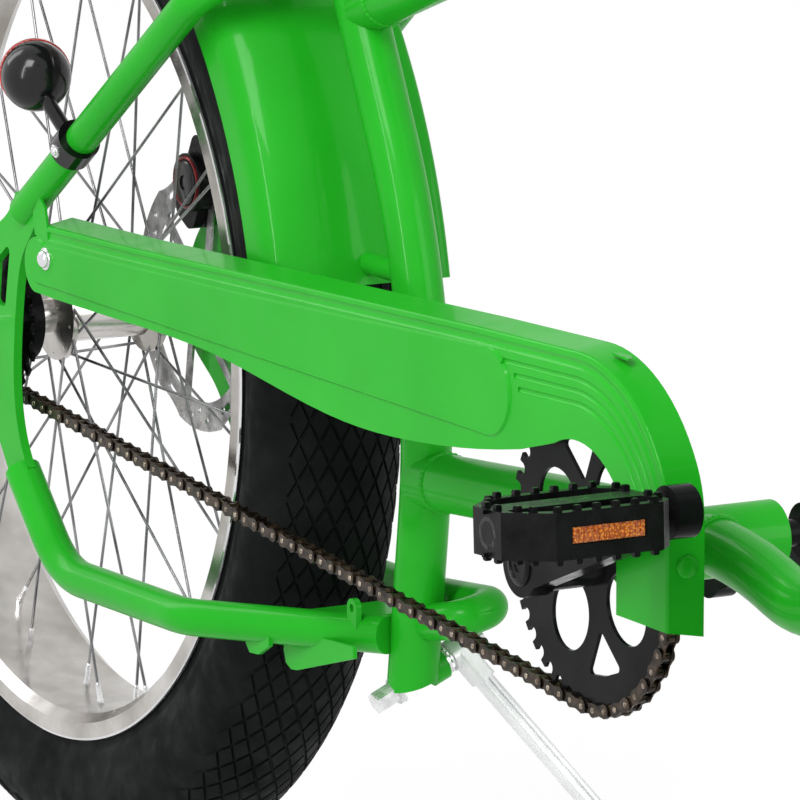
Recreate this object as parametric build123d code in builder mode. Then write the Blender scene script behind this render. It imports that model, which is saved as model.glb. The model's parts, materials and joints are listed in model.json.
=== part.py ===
from build123d import *

import os
from math import asin, atan2, cos, hypot, pi, radians, sin, sqrt, tan

# Fat tyre cruiser bicycle, leaning on its side stand. Millimetres.
#
# Every piece is drawn on the upright bicycle: X forward, Y to the rider's left, Z up,
# with the origin at the middle of the rear axle. The last lines lean the whole bicycle
# onto its stand and put the origin on the floor, under the middle of its box.

LEAN = 4.0                       # degrees, towards the stand on the left

# Wheels, 26 x 4.0
TYRE_RADIUS = 373.0
TYRE_SECTION = 50.0              # radius of the tyre's round section
TYRE_CENTRE = TYRE_RADIUS - TYRE_SECTION
TYRE_WALL = 7.0
BEAD_HALF_WIDTH = 39.0
RIM_HALF_WIDTH = 42.4
RIM_FLANGE = 288.0               # radius over the rim's hooked edges
RIM_BED = 271.0                  # radius of the rim's inner face
RIM_WALL = 2.8
SPOKES = 36
SPOKE = 1.0                      # spoke radius
SPOKE_LEAD = 62.0                # degrees round the wheel from a spoke's head to its nipple
SPOKE_OFFSET = 1.8               # from a flange's middle to a spoke
SPOKE_BED = 0.18                 # where a spoke meets the rim, as a share of its flange's line
FLANGE_HOLES = 26.0              # radius of the ring of spoke holes in a hub flange
HUB = 19.5                       # radius of the shell between the flanges
HUB_END = 12.0
HUB_FIT = 0.1                    # gap round it in the rotor and the cog
ROTOR_SEAT = 18.0
ROTOR_HUB = 28.0                 # outside radius of the rotor's middle
ROTOR = 90.0
ROTOR_THICKNESS = 2.0
ROTOR_INNER = 70.0               # inside radius of its braking ring
ROTOR_ARMS = 6
PIVOT_GAP = 0.05                 # radial running clearance at pins and shafts

# Plan of the frame
WHEELBASE = 1440.0
HEAD_ANGLE = 66.0                # degrees from the ground
FORK_OFFSET = 50.0
BRACKET = (779.0, -18.0)         # X and Z of the crank axis
CHAIN_LINE = 70.0                # the chain runs this far to the right of the middle
DROPOUT_FACE = 83.0              # inner faces of the rear dropouts
DROPOUT_THICKNESS = 6.0
AXLE_HALF = 112.0                # the rear axle's ends stand out past its nuts
FORK_FACE = 75.0                 # inner faces of the fork ends
FORK_LEG_LINE = 78.0
FORK_LEG = 14.0
FORK_END_THICKNESS = 6.0
AXLE = 5.0                       # axle radius

# Chain drive
PITCH = 12.7
RING_TEETH = 44
COG_TEETH = 22
RING_PITCH_RADIUS = PITCH / 2 / sin(pi / RING_TEETH)
COG_PITCH_RADIUS = PITCH / 2 / sin(pi / COG_TEETH)
TOOTH_THICKNESS = 2.4
ROLLER = 3.9                     # roller radius, also the round of a tooth's root
LINK_HALF_HEIGHT = 4.4
CHAIN_INNER_HALF = 2.2           # from the chain's middle plane to the side plates
LINK_THICKNESS = 2.4             # inner and outer side plates together

# Cranks
CRANK_LENGTH = 170.0
CRANK_ANGLE = 20.2               # degrees above level, right crank forward
CRANK_FACE = 104.0               # inner face of the arms where they pass the guard
CRANK_THICKNESS = 15.0
CRANK_ROOT = 19.0                # radius of the boss round the bottom bracket
CRANK_EYE = 15.0                 # and of the one that holds the pedal
SPINDLE = 8.0
PEDAL_INNER = 134.0
PEDAL_OUTER = 231.0
PEDAL_SPINDLE = 5.0
PEDAL_SPINDLE_END = 219.0
PEDAL_TILT = 3.0                 # degrees, nose up

# Fenders
FENDER_INNER = 391.0
FENDER_WALL = 2.5
FENDER_HALF_WIDTH = 63.0
FENDER_DEPTH = 42.5              # from the crown to the skirts' edges
STAY_WIRE = 2.2                  # radius of the fender stays
STAY_EYE = 5.0                   # and of the eyes they are bolted by
STAY_EYE_THICKNESS = 5.0

# Side stand
STAND_BOLT_FOOT = (437.0, 0.0, -169.0)  # where the bolt crosses the middle plane
STAND_AXIS = (0.0, 0.91, 0.415)  # the bolt rises towards the left
STAND_PIVOT_ALONG = 38.0         # from the middle plane to the stand's eye, along the bolt
STAND_LEG = (0.346, 0.549, -0.760)
STAND_BOLT = 5.0
STAND_FOOT = 9.0                 # radius of the foot's rubber tip


def along_steerer(up, left=0.0, ahead=0.0):
    """A point from the foot of the steering axis: up the axis, to the left and ahead of it."""
    slope = radians(HEAD_ANGLE)
    foot_x = WHEELBASE - FORK_OFFSET * sin(slope)
    foot_z = -FORK_OFFSET * cos(slope)
    return Vector(
        foot_x - up * cos(slope) + ahead * sin(slope),
        left,
        foot_z + up * sin(slope) + ahead * cos(slope),
    )


STEERER_UP = along_steerer(1) - along_steerer(0)


def steerer_plane(up):
    """A plane across the steering axis, with its x direction ahead."""
    return Plane(along_steerer(up), x_dir=along_steerer(0, ahead=1) - along_steerer(0), z_dir=STEERER_UP)


def crosswise(x, z, left=0.0):
    """A plane across the bicycle at this place, seen from the right, so x is forward and y is up."""
    return Plane((x, left, z), x_dir=(1, 0, 0), z_dir=(0, -1, 0))


def left_face(side, inner, outer):
    """The line of the left face of a slab that spans these distances from the middle, on one side."""
    return outer if side > 0 else -inner


def round_bar(route, bends, radius):
    """Sweep a round bar along straight runs joined by bends, in the open part."""
    with BuildLine():
        path = FilletPolyline(*route, radius=bends) if bends else Line(*route)
    with BuildSketch(Plane(path @ 0, z_dir=path % 0)) as section:
        Circle(radius)
    sweep(section.sketch, path=path)


def turned(profile, x, z):
    """Revolve a closed profile of (distance left, radius) points about the cross axis at x, z."""
    with BuildSketch(Plane((x, 0, z), x_dir=(0, 1, 0), z_dir=(1, 0, 0))) as section:
        with BuildLine():
            Polyline(*profile, close=True)
        make_face()
    revolve(section.sketch, axis=Axis((x, 0, z), (0, 1, 0)))


finished = []


def finish(builder, label):
    builder.part.label = label
    finished.append(builder.part)


# ---------------------------------------------------------------- frame tubes

SEAT_TUBE = 16.0
SEAT_TUBE_ROUTE = [(434, 0, -210), (470, 0, 60), (328, 0, 335)]
MAIN_TUBE = 18.0
DOWN_TUBE = 17.0
TOP_TUBE = 16.0
HEAD_TUBE_ENDS = (483.0, 650.0)
HEAD_TUBE = 21.0
STAY = 12.0
SEAT_STAY = 11.0
SHELL_HALF_WIDTH = 50.0
SHELL = 21.0

bolt_foot = Vector(*STAND_BOLT_FOOT)
bolt_axis = Vector(*STAND_AXIS).normalized()

with BuildPart() as seat_tube:
    round_bar(SEAT_TUBE_ROUTE, [400], SEAT_TUBE)
    split(bisect_by=Plane(bolt_foot, z_dir=(0, -0.29, 0.957)), keep=Keep.TOP)
    with BuildSketch(Plane(bolt_foot + bolt_axis * 13, z_dir=bolt_axis)) as stand_lug:
        Circle(11)
    extrude(stand_lug.sketch, amount=11)
finish(seat_tube, "seat_tube")

with BuildPart() as head_core:
    with BuildSketch(steerer_plane(HEAD_TUBE_ENDS[0])):
        Circle(HEAD_TUBE)
    extrude(amount=HEAD_TUBE_ENDS[1] - HEAD_TUBE_ENDS[0])

with BuildPart() as head_tube:
    add(head_core.part)
    with BuildSketch(steerer_plane(HEAD_TUBE_ENDS[0])) as head_bore:
        Circle(HEAD_TUBE - 3)
    extrude(head_bore.sketch, amount=HEAD_TUBE_ENDS[1] - HEAD_TUBE_ENDS[0], mode=Mode.SUBTRACT)
finish(head_tube, "head_tube")

with BuildPart() as shell_core:
    with BuildSketch(crosswise(*BRACKET, left=SHELL_HALF_WIDTH)):
        Circle(SHELL)
    extrude(amount=2 * SHELL_HALF_WIDTH)

with BuildPart() as bottom_bracket_shell:
    add(shell_core.part)
    with BuildSketch(crosswise(*BRACKET, left=SHELL_HALF_WIDTH)) as shell_bore:
        Circle(SPINDLE + PIVOT_GAP)
    extrude(shell_bore.sketch, amount=2 * SHELL_HALF_WIDTH, mode=Mode.SUBTRACT)
finish(bottom_bracket_shell, "bottom_bracket_shell")

with BuildPart() as top_tube:
    round_bar([(381, 0, 248), (760, 0, 375), along_steerer(615)], [1800], TOP_TUBE)
    add(seat_tube.part, mode=Mode.SUBTRACT)
    add(head_core.part, mode=Mode.SUBTRACT)
finish(top_tube, "top_tube")

with BuildPart() as connecting_tube:
    round_bar([(456, 0, -37), (690, 0, -18), (BRACKET[0], 0, -17)], [900], MAIN_TUBE)
    add(seat_tube.part, mode=Mode.SUBTRACT)
    add(shell_core.part, mode=Mode.SUBTRACT)
finish(connecting_tube, "connecting_tube")

with BuildPart() as down_tube:
    round_bar(
        [(BRACKET[0], 0, -16), (825, 0, -15), (940, 0, -50), along_steerer(526)],
        [260, 84],
        DOWN_TUBE,
    )
    add(shell_core.part, mode=Mode.SUBTRACT)
    add(head_core.part, mode=Mode.SUBTRACT)
    add(top_tube.part, mode=Mode.SUBTRACT)
finish(down_tube, "down_tube")

# ---------------------------------------------------------------- rear triangle

STAY_LINE = DROPOUT_FACE + DROPOUT_THICKNESS / 2
STAY_LOWER = (58.0, -92.0)       # X and Z where the chain stay leaves the dropout
STAY_UPPER = (66.0, 84.0)        # X and Z where the seat stay leaves the dropout
EYELET = (10.0, 50.0)            # X and Z of the rack eyelet in each dropout
EYELET_HOLE = 2.5
TAB = (424.0, -33.0, -121.0)     # small lug with a cross hole on the right chain stay
TAB_HOLE = 2.6
TAB_THICKNESS = 4.0

with BuildPart() as chain_stay_right:
    round_bar(
        [
            (STAY_LOWER[0], -STAY_LINE, STAY_LOWER[1]),
            (120, -STAY_LINE, -151),
            (292, -STAY_LINE + 2, -147),
            (440, -18, -137),
        ],
        [70, 60],
        STAY,
    )
    with BuildSketch(crosswise(TAB[0], TAB[2], left=TAB[1] + TAB_THICKNESS / 2)) as lug:
        Circle(6)
        with Locations((0, -7)):
            Rectangle(12, 14)
        Circle(TAB_HOLE, mode=Mode.SUBTRACT)
    extrude(lug.sketch, amount=TAB_THICKNESS)
    add(seat_tube.part, mode=Mode.SUBTRACT)
finish(chain_stay_right, "chain_stay_right")

with BuildPart() as chain_stay_left:
    round_bar(
        [
            (STAY_LOWER[0], STAY_LINE, STAY_LOWER[1]),
            (120, STAY_LINE, -151),
            (292, STAY_LINE - 2, -147),
            (425, 32, -121),
            (491, 31, -114),
            (491, 3, -120),
            (455, 3, -128),
        ],
        [70, 60, 60, 13.5, 13.5],
        STAY,
    )
    add(seat_tube.part, mode=Mode.SUBTRACT)
finish(chain_stay_left, "chain_stay_left")


def seat_stay(side):
    """One seat stay, from beside its dropout forward and up to the seat tube."""
    route = [
        (STAY_UPPER[0], side * STAY_LINE, STAY_UPPER[1]),
        (SEAT_STAY_KNEE[0], side * SEAT_STAY_KNEE[1], SEAT_STAY_KNEE[2]),
        (352, side * 6, 296),
    ]
    round_bar(route, [35], SEAT_STAY)


SEAT_STAY_KNEE = (305.0, 80.0, 253.0)

with BuildPart() as seat_stay_right:
    seat_stay(-1)
    add(seat_tube.part, mode=Mode.SUBTRACT)
finish(seat_stay_right, "seat_stay_right")

with BuildPart() as seat_stay_left:
    seat_stay(1)
    add(seat_tube.part, mode=Mode.SUBTRACT)
    add(seat_stay_right.part, mode=Mode.SUBTRACT)
finish(seat_stay_left, "seat_stay_left")

DROPOUT_FRONT = [(93, 92), (77, 66), (67, 54), (60, 36), (54, 2), (52, -35), (62, -74), (72, -88)]
DROPOUT_REAR = [(50, -106), (28, -76), (8, -55), (-26, -30), (-34, -4), (-28, 22), (4, 60), (34, 73)]
DROPOUT_REAR_TOP = (58, 96)
DROPOUT_WINDOW = [(49, 61), (40, 16), (20, 16), (24, 44)]


def dropout(left):
    """A rear dropout whose left face is on this line: a curved plate with a slot, an eyelet and a window."""
    with BuildSketch(crosswise(0, 0, left=left)) as plate:
        with BuildLine():
            Spline(*DROPOUT_FRONT)
            Line(DROPOUT_FRONT[-1], DROPOUT_REAR[0])
            Spline(*DROPOUT_REAR, DROPOUT_REAR_TOP)
            Line(DROPOUT_REAR_TOP, DROPOUT_FRONT[0])
        make_face()
        with Locations((-15, 0)):
            SlotOverall(60, 2 * AXLE + 0.6, mode=Mode.SUBTRACT)
        with Locations(EYELET):
            Circle(EYELET_HOLE, mode=Mode.SUBTRACT)
    with BuildSketch(crosswise(0, 0, left=left)) as window:
        with BuildLine():
            Polyline(*DROPOUT_WINDOW, close=True)
        make_face()
        fillet(window.vertices(), 3.5)
    extrude(plate.sketch, amount=DROPOUT_THICKNESS)
    extrude(window.sketch, amount=DROPOUT_THICKNESS, mode=Mode.SUBTRACT)


with BuildPart() as dropout_right:
    dropout(-DROPOUT_FACE)
    add(seat_stay_right.part, mode=Mode.SUBTRACT)
    add(chain_stay_right.part, mode=Mode.SUBTRACT)
finish(dropout_right, "dropout_right")

with BuildPart() as dropout_left:
    dropout(DROPOUT_FACE + DROPOUT_THICKNESS)
    add(seat_stay_left.part, mode=Mode.SUBTRACT)
    add(chain_stay_left.part, mode=Mode.SUBTRACT)
finish(dropout_left, "dropout_left")

with BuildPart() as stay_bridge:
    with BuildSketch(Plane.XY.offset(-141)):
        with Locations((376, 0)):
            Rectangle(36, 92)
    extrude(amount=6)
    add(chain_stay_right.part, mode=Mode.SUBTRACT)
    add(chain_stay_left.part, mode=Mode.SUBTRACT)
finish(stay_bridge, "stay_bridge")

# ---------------------------------------------------------------- wheels


def tyre(x):
    """The tyre's open C section: a round carcass with two feet that sit in the rim."""
    foot = RIM_FLANGE - 9
    inner = TYRE_SECTION - TYRE_WALL
    rise = sqrt(TYRE_SECTION**2 - BEAD_HALF_WIDTH**2)
    narrow = BEAD_HALF_WIDTH - TYRE_WALL
    inner_rise = sqrt(inner**2 - narrow**2)
    with BuildSketch(Plane((x, 0, 0), x_dir=(0, 1, 0), z_dir=(1, 0, 0))) as section:
        with BuildLine():
            ThreePointArc(
                (-BEAD_HALF_WIDTH, TYRE_CENTRE - rise),
                (0, TYRE_RADIUS),
                (BEAD_HALF_WIDTH, TYRE_CENTRE - rise),
            )
            Polyline(
                (BEAD_HALF_WIDTH, TYRE_CENTRE - rise),
                (BEAD_HALF_WIDTH, foot),
                (narrow, foot),
                (narrow, TYRE_CENTRE - inner_rise),
            )
            ThreePointArc(
                (narrow, TYRE_CENTRE - inner_rise),
                (0, TYRE_RADIUS - TYRE_WALL),
                (-narrow, TYRE_CENTRE - inner_rise),
            )
            Polyline(
                (-narrow, TYRE_CENTRE - inner_rise),
                (-narrow, foot),
                (-BEAD_HALF_WIDTH, foot),
                (-BEAD_HALF_WIDTH, TYRE_CENTRE - rise),
            )
        make_face()
    revolve(section.sketch, axis=Axis((x, 0, 0), (0, 1, 0)))


def rim(x):
    """A wide single-wall rim: two flanges, two bead seats and a shallow well."""
    half = RIM_HALF_WIDTH
    wall = RIM_WALL
    outside = [(half - wall, RIM_FLANGE), (half, RIM_FLANGE), (half, RIM_BED + 6), (half - 7, RIM_BED)]
    inside = [(8 - half, RIM_BED + wall), (wall - half, RIM_BED + 7)]
    left_half = [(-across, out) for across, out in outside[::-1]]
    right_inside = [(-across, out) for across, out in inside]
    turned(outside + left_half + inside[::-1] + right_inside, x, 0)


def hub(x, half_length, flange_left, flange_right, rotor_line):
    """A hub shell with two flanges and the rotor's seat on its left, bored for the axle."""
    bore = AXLE + PIVOT_GAP
    flange = FLANGE_HOLES + 5
    profile = [
        (-half_length, bore),
        (-half_length, HUB_END),
        (-flange_right - 5, HUB_END),
        (-flange_right - 2, flange),
        (-flange_right + 2, flange),
        (-flange_right + 6, HUB),
        (flange_left - 6, HUB),
        (flange_left - 2, flange),
        (flange_left + 2, flange),
        (flange_left + 5, ROTOR_SEAT),
        (rotor_line - ROTOR_THICKNESS / 2, ROTOR_SEAT),
        (rotor_line - ROTOR_THICKNESS / 2, HUB_END),
        (half_length, HUB_END),
        (half_length, bore),
    ]
    turned(profile, x, 0)


def spokes(x, flange_left, flange_right):
    """Crossed spokes from both flanges to the rim; heads inside and outside a flange alternate."""
    per_flange = SPOKES // 2
    reach = RIM_BED + 1.0
    for flange, start in ((flange_left, 0.0), (-flange_right, 0.5)):
        for n in range(per_flange):
            leading = 1 if n % 2 == 0 else -1
            hole = radians(360 * (n + start) / per_flange)
            nipple = hole + leading * radians(SPOKE_LEAD)
            head = Vector(
                x + FLANGE_HOLES * cos(hole), flange + leading * SPOKE_OFFSET, FLANGE_HOLES * sin(hole)
            )
            foot = Vector(x + reach * cos(nipple), SPOKE_BED * flange, reach * sin(nipple))
            run = foot - head
            with BuildSketch(Plane(head, z_dir=run)) as section:
                Circle(SPOKE)
            extrude(section.sketch, amount=run.length)


def rotor(x, line):
    """A brake disc: a waved ring, drilled in threes, on six slender slanted arms."""
    with BuildSketch(crosswise(x, 0, left=line + ROTOR_THICKNESS / 2)) as section:
        Circle(ROTOR)
        with PolarLocations(ROTOR + 56, ROTOR_ARMS):
            Circle(60, mode=Mode.SUBTRACT)
        Circle(ROTOR_INNER, mode=Mode.SUBTRACT)
        with PolarLocations(0, ROTOR_ARMS):
            with Locations((48, 10)):
                Rectangle(58, 7, rotation=20)
        Circle(ROTOR_HUB)
        Circle(HUB_END + HUB_FIT, mode=Mode.SUBTRACT)
        with PolarLocations(79, ROTOR_ARMS):
            with Locations(Location((0, 0), 90)):
                SlotOverall(15, 5, mode=Mode.SUBTRACT)
        for turn in (-8, 0, 8):
            with PolarLocations(82 if turn else 76, ROTOR_ARMS, start_angle=180 / ROTOR_ARMS + turn):
                Circle(2.6, mode=Mode.SUBTRACT)
    extrude(section.sketch, amount=ROTOR_THICKNESS)


def sprocket(teeth, pitch_radius):
    """The outline of a chain wheel: rounded roots with straight-flanked teeth between them."""
    tip = pitch_radius + 3.4
    Circle(tip)
    with PolarLocations(pitch_radius, teeth):
        Circle(ROLLER, mode=Mode.SUBTRACT)
    with PolarLocations(pitch_radius + 3.2, teeth):
        Rectangle(5.0, 7.6, mode=Mode.SUBTRACT)


REAR_FLANGE_LEFT = 36.0
REAR_FLANGE_RIGHT = 32.0
REAR_ROTOR_LINE = 77.0
FRONT_FLANGE = 36.0
FRONT_ROTOR_LINE = 58.0
REAR_HUB_HALF = 81.0
FRONT_HUB_HALF = 73.0

for x, wheel in ((0, "rear"), (WHEELBASE, "front")):
    with BuildPart() as wheel_tyre:
        tyre(x)
    finish(wheel_tyre, f"{wheel}_tyre")
    with BuildPart() as wheel_rim:
        rim(x)
    finish(wheel_rim, f"{wheel}_rim")

with BuildPart() as rear_hub:
    hub(0, REAR_HUB_HALF, REAR_FLANGE_LEFT, REAR_FLANGE_RIGHT, REAR_ROTOR_LINE)
finish(rear_hub, "rear_hub")

with BuildPart() as front_hub:
    hub(WHEELBASE, FRONT_HUB_HALF, FRONT_FLANGE, FRONT_FLANGE, FRONT_ROTOR_LINE)
finish(front_hub, "front_hub")

with BuildPart() as rear_spokes:
    spokes(0, REAR_FLANGE_LEFT, REAR_FLANGE_RIGHT)
finish(rear_spokes, "rear_spokes")

with BuildPart() as front_spokes:
    spokes(WHEELBASE, FRONT_FLANGE, FRONT_FLANGE)
finish(front_spokes, "front_spokes")

with BuildPart() as rear_rotor:
    rotor(0, REAR_ROTOR_LINE)
finish(rear_rotor, "rear_rotor")

with BuildPart() as front_rotor:
    rotor(WHEELBASE, FRONT_ROTOR_LINE)
finish(front_rotor, "front_rotor")

with BuildPart() as rear_cog:
    with BuildSketch(crosswise(0, 0, left=-CHAIN_LINE + TOOTH_THICKNESS / 2)):
        sprocket(COG_TEETH, COG_PITCH_RADIUS)
        Circle(HUB_END + HUB_FIT, mode=Mode.SUBTRACT)
    extrude(amount=TOOTH_THICKNESS)
    with BuildSketch(crosswise(0, 0, left=-CHAIN_LINE + 16)):
        Circle(29)
        Circle(HUB_END + HUB_FIT, mode=Mode.SUBTRACT)
    extrude(amount=16)
finish(rear_cog, "rear_cog")


def axle(x, half_length, end_face):
    """An axle with a nut on each side, outside the two end plates."""
    with BuildSketch(crosswise(x, 0, left=half_length)) as bar:
        Circle(AXLE)
    extrude(bar.sketch, amount=2 * half_length)
    for left in (end_face + AXLE_NUT_THICKNESS, -end_face):
        with BuildSketch(crosswise(x, 0, left=left)) as nut:
            RegularPolygon(AXLE_NUT, 6)
        extrude(nut.sketch, amount=AXLE_NUT_THICKNESS)


AXLE_NUT = 9.0                   # radius over the corners
AXLE_NUT_THICKNESS = 8.0
FRONT_AXLE_HALF = 95.0

with BuildPart() as rear_axle:
    axle(0, AXLE_HALF, DROPOUT_FACE + DROPOUT_THICKNESS)
finish(rear_axle, "rear_axle")

with BuildPart() as front_axle:
    axle(WHEELBASE, FRONT_AXLE_HALF, FORK_FACE + FORK_END_THICKNESS)
finish(front_axle, "front_axle")

# ---------------------------------------------------------------- chain drive

RING_LOBES = 4                   # large openings, with a small one in the fork of each arm between
RING_TURN = -32.0                # degrees, the first large opening

with BuildPart() as chainring:
    with BuildSketch(crosswise(*BRACKET, left=-CHAIN_LINE + TOOTH_THICKNESS / 2)) as ring_plate:
        sprocket(RING_TEETH, RING_PITCH_RADIUS)
        with PolarLocations(45, RING_LOBES, start_angle=RING_TURN):
            Ellipse(22.5, 20, mode=Mode.SUBTRACT)
        Circle(SPINDLE, mode=Mode.SUBTRACT)
    with BuildSketch(crosswise(*BRACKET, left=-CHAIN_LINE + TOOTH_THICKNESS / 2)) as shields:
        with PolarLocations(0, RING_LOBES, start_angle=RING_TURN + 180 / RING_LOBES):
            Polygon((42, 0), (67, 19), (69, 0), (67, -19), align=None)
        fillet(shields.vertices(), 2.5)
    extrude(ring_plate.sketch, amount=TOOTH_THICKNESS)
    extrude(shields.sketch, amount=TOOTH_THICKNESS, mode=Mode.SUBTRACT)
finish(chainring, "chainring")


def loop_points():
    """The four points where the chain's pitch line meets the two pitch circles."""
    across = hypot(*BRACKET)
    slope = atan2(BRACKET[1], BRACKET[0])
    spread = asin((RING_PITCH_RADIUS - COG_PITCH_RADIUS) / across)
    upper = slope + pi / 2 + spread
    lower = slope - pi / 2 - spread
    cog = [(COG_PITCH_RADIUS * cos(a), COG_PITCH_RADIUS * sin(a)) for a in (upper, lower)]
    ring = [
        (BRACKET[0] + RING_PITCH_RADIUS * cos(a), BRACKET[1] + RING_PITCH_RADIUS * sin(a))
        for a in (upper, lower)
    ]
    return cog[0], cog[1], ring[0], ring[1]


def chain_loop(left, thickness):
    """One row of side plates all round the drive, as a band on the pitch line."""
    cog_top, cog_bottom, ring_top, ring_bottom = loop_points()
    front_angle = atan2(BRACKET[1], BRACKET[0])
    front = (
        BRACKET[0] + RING_PITCH_RADIUS * cos(front_angle),
        BRACKET[1] + RING_PITCH_RADIUS * sin(front_angle),
    )
    for grow, mode in ((LINK_HALF_HEIGHT, Mode.ADD), (-LINK_HALF_HEIGHT, Mode.SUBTRACT)):
        with BuildSketch(crosswise(0, 0, left=left)) as band:
            with BuildLine():
                Line(cog_top, ring_top)
                ThreePointArc(ring_top, front, ring_bottom)
                Line(ring_bottom, cog_bottom)
                ThreePointArc(cog_bottom, (-COG_PITCH_RADIUS, 0), cog_top)
            make_face()
            offset(amount=grow)
        extrude(band.sketch, amount=thickness, mode=mode)


with BuildPart() as chain:
    chain_loop(-CHAIN_LINE + CHAIN_INNER_HALF + LINK_THICKNESS, LINK_THICKNESS)
    chain_loop(-CHAIN_LINE - CHAIN_INNER_HALF, LINK_THICKNESS)
    cog_top, cog_bottom, ring_top, ring_bottom = loop_points()
    for a, b in ((cog_top, ring_top), (cog_bottom, ring_bottom)):
        run = Vector(b[0] - a[0], 0, b[1] - a[1])
        count = int(run.length // PITCH)
        step = run / count
        with BuildSketch(crosswise(0, 0, left=-CHAIN_LINE + CHAIN_INNER_HALF)) as rollers:
            for n in range(4, count - 6, 2):
                with Locations((a[0] + n * step.X, a[1] + n * step.Z)):
                    RegularPolygon(3.4, 6)
        extrude(rollers.sketch, amount=2 * CHAIN_INNER_HALF)
finish(chain, "chain")

CRANK_REACH = (CRANK_LENGTH * cos(radians(CRANK_ANGLE)), CRANK_LENGTH * sin(radians(CRANK_ANGLE)))
CRANK_OUTER = CRANK_FACE + CRANK_THICKNESS
RING_OUTER = CHAIN_LINE + TOOTH_THICKNESS / 2


def pedal_centre(side):
    """X and Z of the pedal on this side; the right crank points forward."""
    return (BRACKET[0] - side * CRANK_REACH[0], BRACKET[1] - side * CRANK_REACH[1])


for side, name in ((-1, "crank_arm_right"), (1, "crank_arm_left")):
    eye_x, eye_z = pedal_centre(side)
    with BuildPart() as crank_arm:
        with BuildSketch(crosswise(*BRACKET, left=left_face(side, CRANK_FACE, CRANK_OUTER))) as arm:
            Circle(CRANK_ROOT - 3)
            with Locations((eye_x - BRACKET[0], eye_z - BRACKET[1])):
                Circle(CRANK_EYE - 3.5)
            make_hull()
            Circle(CRANK_ROOT)
            with Locations((eye_x - BRACKET[0], eye_z - BRACKET[1])):
                Circle(CRANK_EYE)
        extrude(arm.sketch, amount=CRANK_THICKNESS)
        with BuildSketch(crosswise(*BRACKET, left=left_face(side, RING_OUTER, CRANK_FACE))) as boss:
            Circle(CRANK_ROOT - 2)
        extrude(boss.sketch, amount=CRANK_FACE - RING_OUTER)
        outer_end = left_face(side, CRANK_OUTER, PEDAL_SPINDLE_END)
        with BuildSketch(crosswise(eye_x, eye_z, left=outer_end)) as pedal_spindle:
            Circle(PEDAL_SPINDLE)
        extrude(pedal_spindle.sketch, amount=PEDAL_SPINDLE_END - CRANK_OUTER)
        if side > 0:
            with BuildSketch(crosswise(*BRACKET, left=RING_OUTER)) as spindle:
                Circle(SPINDLE)
            extrude(spindle.sketch, amount=2 * RING_OUTER)
    finish(crank_arm, name)

PEDAL_HALF_LENGTH = 36.0
PEDAL_HALF_HEIGHT = 13.0
PEDAL_BARREL = 12.0
PEDAL_RAIL = 6.5
PEDAL_REFLECTOR = (46.0, 10.0)   # seat of the reflector in each long side
PEDAL_REFLECTOR_DEPTH = 1.5
PEDAL_REFLECTOR_LINE = 176.0


def pedal_plan(side, rail=0.0):
    """Half of the cage's outline seen from above, on one side of the spindle, from its inner end to its outer end."""
    inner = side * (PEDAL_INNER + rail)
    outer = side * (PEDAL_OUTER - rail)
    length = PEDAL_HALF_LENGTH - rail
    near = PEDAL_BARREL - 2 if rail else 0
    return [
        (near, inner),
        (length - 8, inner),
        (length, inner + side * 8),
        (length, outer - side * 22),
        (15 + rail / 2, outer),
        (near, outer),
    ]


for side, name in ((-1, "pedal_right"), (1, "pedal_left")):
    tilt = radians(PEDAL_TILT)
    eye_x, eye_z = pedal_centre(side)
    level = Plane(
        (eye_x, 0, eye_z),
        x_dir=(cos(tilt), 0, sin(tilt)),
        z_dir=(-sin(tilt), 0, cos(tilt)),
    )
    with BuildPart() as pedal:
        with BuildSketch(level.offset(-PEDAL_HALF_HEIGHT)) as cage:
            with BuildLine():
                Polyline(*pedal_plan(side), close=True)
            make_face()
            mirror(about=Plane.YZ)
        extrude(cage.sketch, amount=2 * PEDAL_HALF_HEIGHT)
        with BuildSketch(level.offset(-PEDAL_HALF_HEIGHT)) as openings:
            with BuildLine():
                Polyline(*pedal_plan(side, PEDAL_RAIL), close=True)
            make_face()
            fillet(openings.vertices(), 2)
            mirror(about=Plane.YZ)
        extrude(openings.sketch, amount=2 * PEDAL_HALF_HEIGHT, mode=Mode.SUBTRACT)
        with BuildSketch(crosswise(eye_x, eye_z, left=left_face(side, PEDAL_INNER, PEDAL_OUTER))) as barrel:
            Circle(PEDAL_BARREL)
        extrude(barrel.sketch, amount=PEDAL_OUTER - PEDAL_INNER)
        bore_end = left_face(side, PEDAL_INNER, PEDAL_SPINDLE_END)
        with BuildSketch(crosswise(eye_x, eye_z, left=bore_end)) as bore:
            Circle(PEDAL_SPINDLE + PIVOT_GAP)
        extrude(bore.sketch, amount=PEDAL_SPINDLE_END - PEDAL_INNER, mode=Mode.SUBTRACT)
        for ahead in (level.x_dir, -level.x_dir):
            end_face = Plane(level.origin + ahead * PEDAL_HALF_LENGTH, x_dir=(0, 1, 0), z_dir=ahead)
            with BuildSketch(end_face) as reflector_seat:
                with Locations((side * PEDAL_REFLECTOR_LINE, 0)):
                    Rectangle(*PEDAL_REFLECTOR)
            extrude(reflector_seat.sketch, amount=-PEDAL_REFLECTOR_DEPTH, mode=Mode.SUBTRACT)
    finish(pedal, name)

# ---------------------------------------------------------------- chain guard

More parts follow.
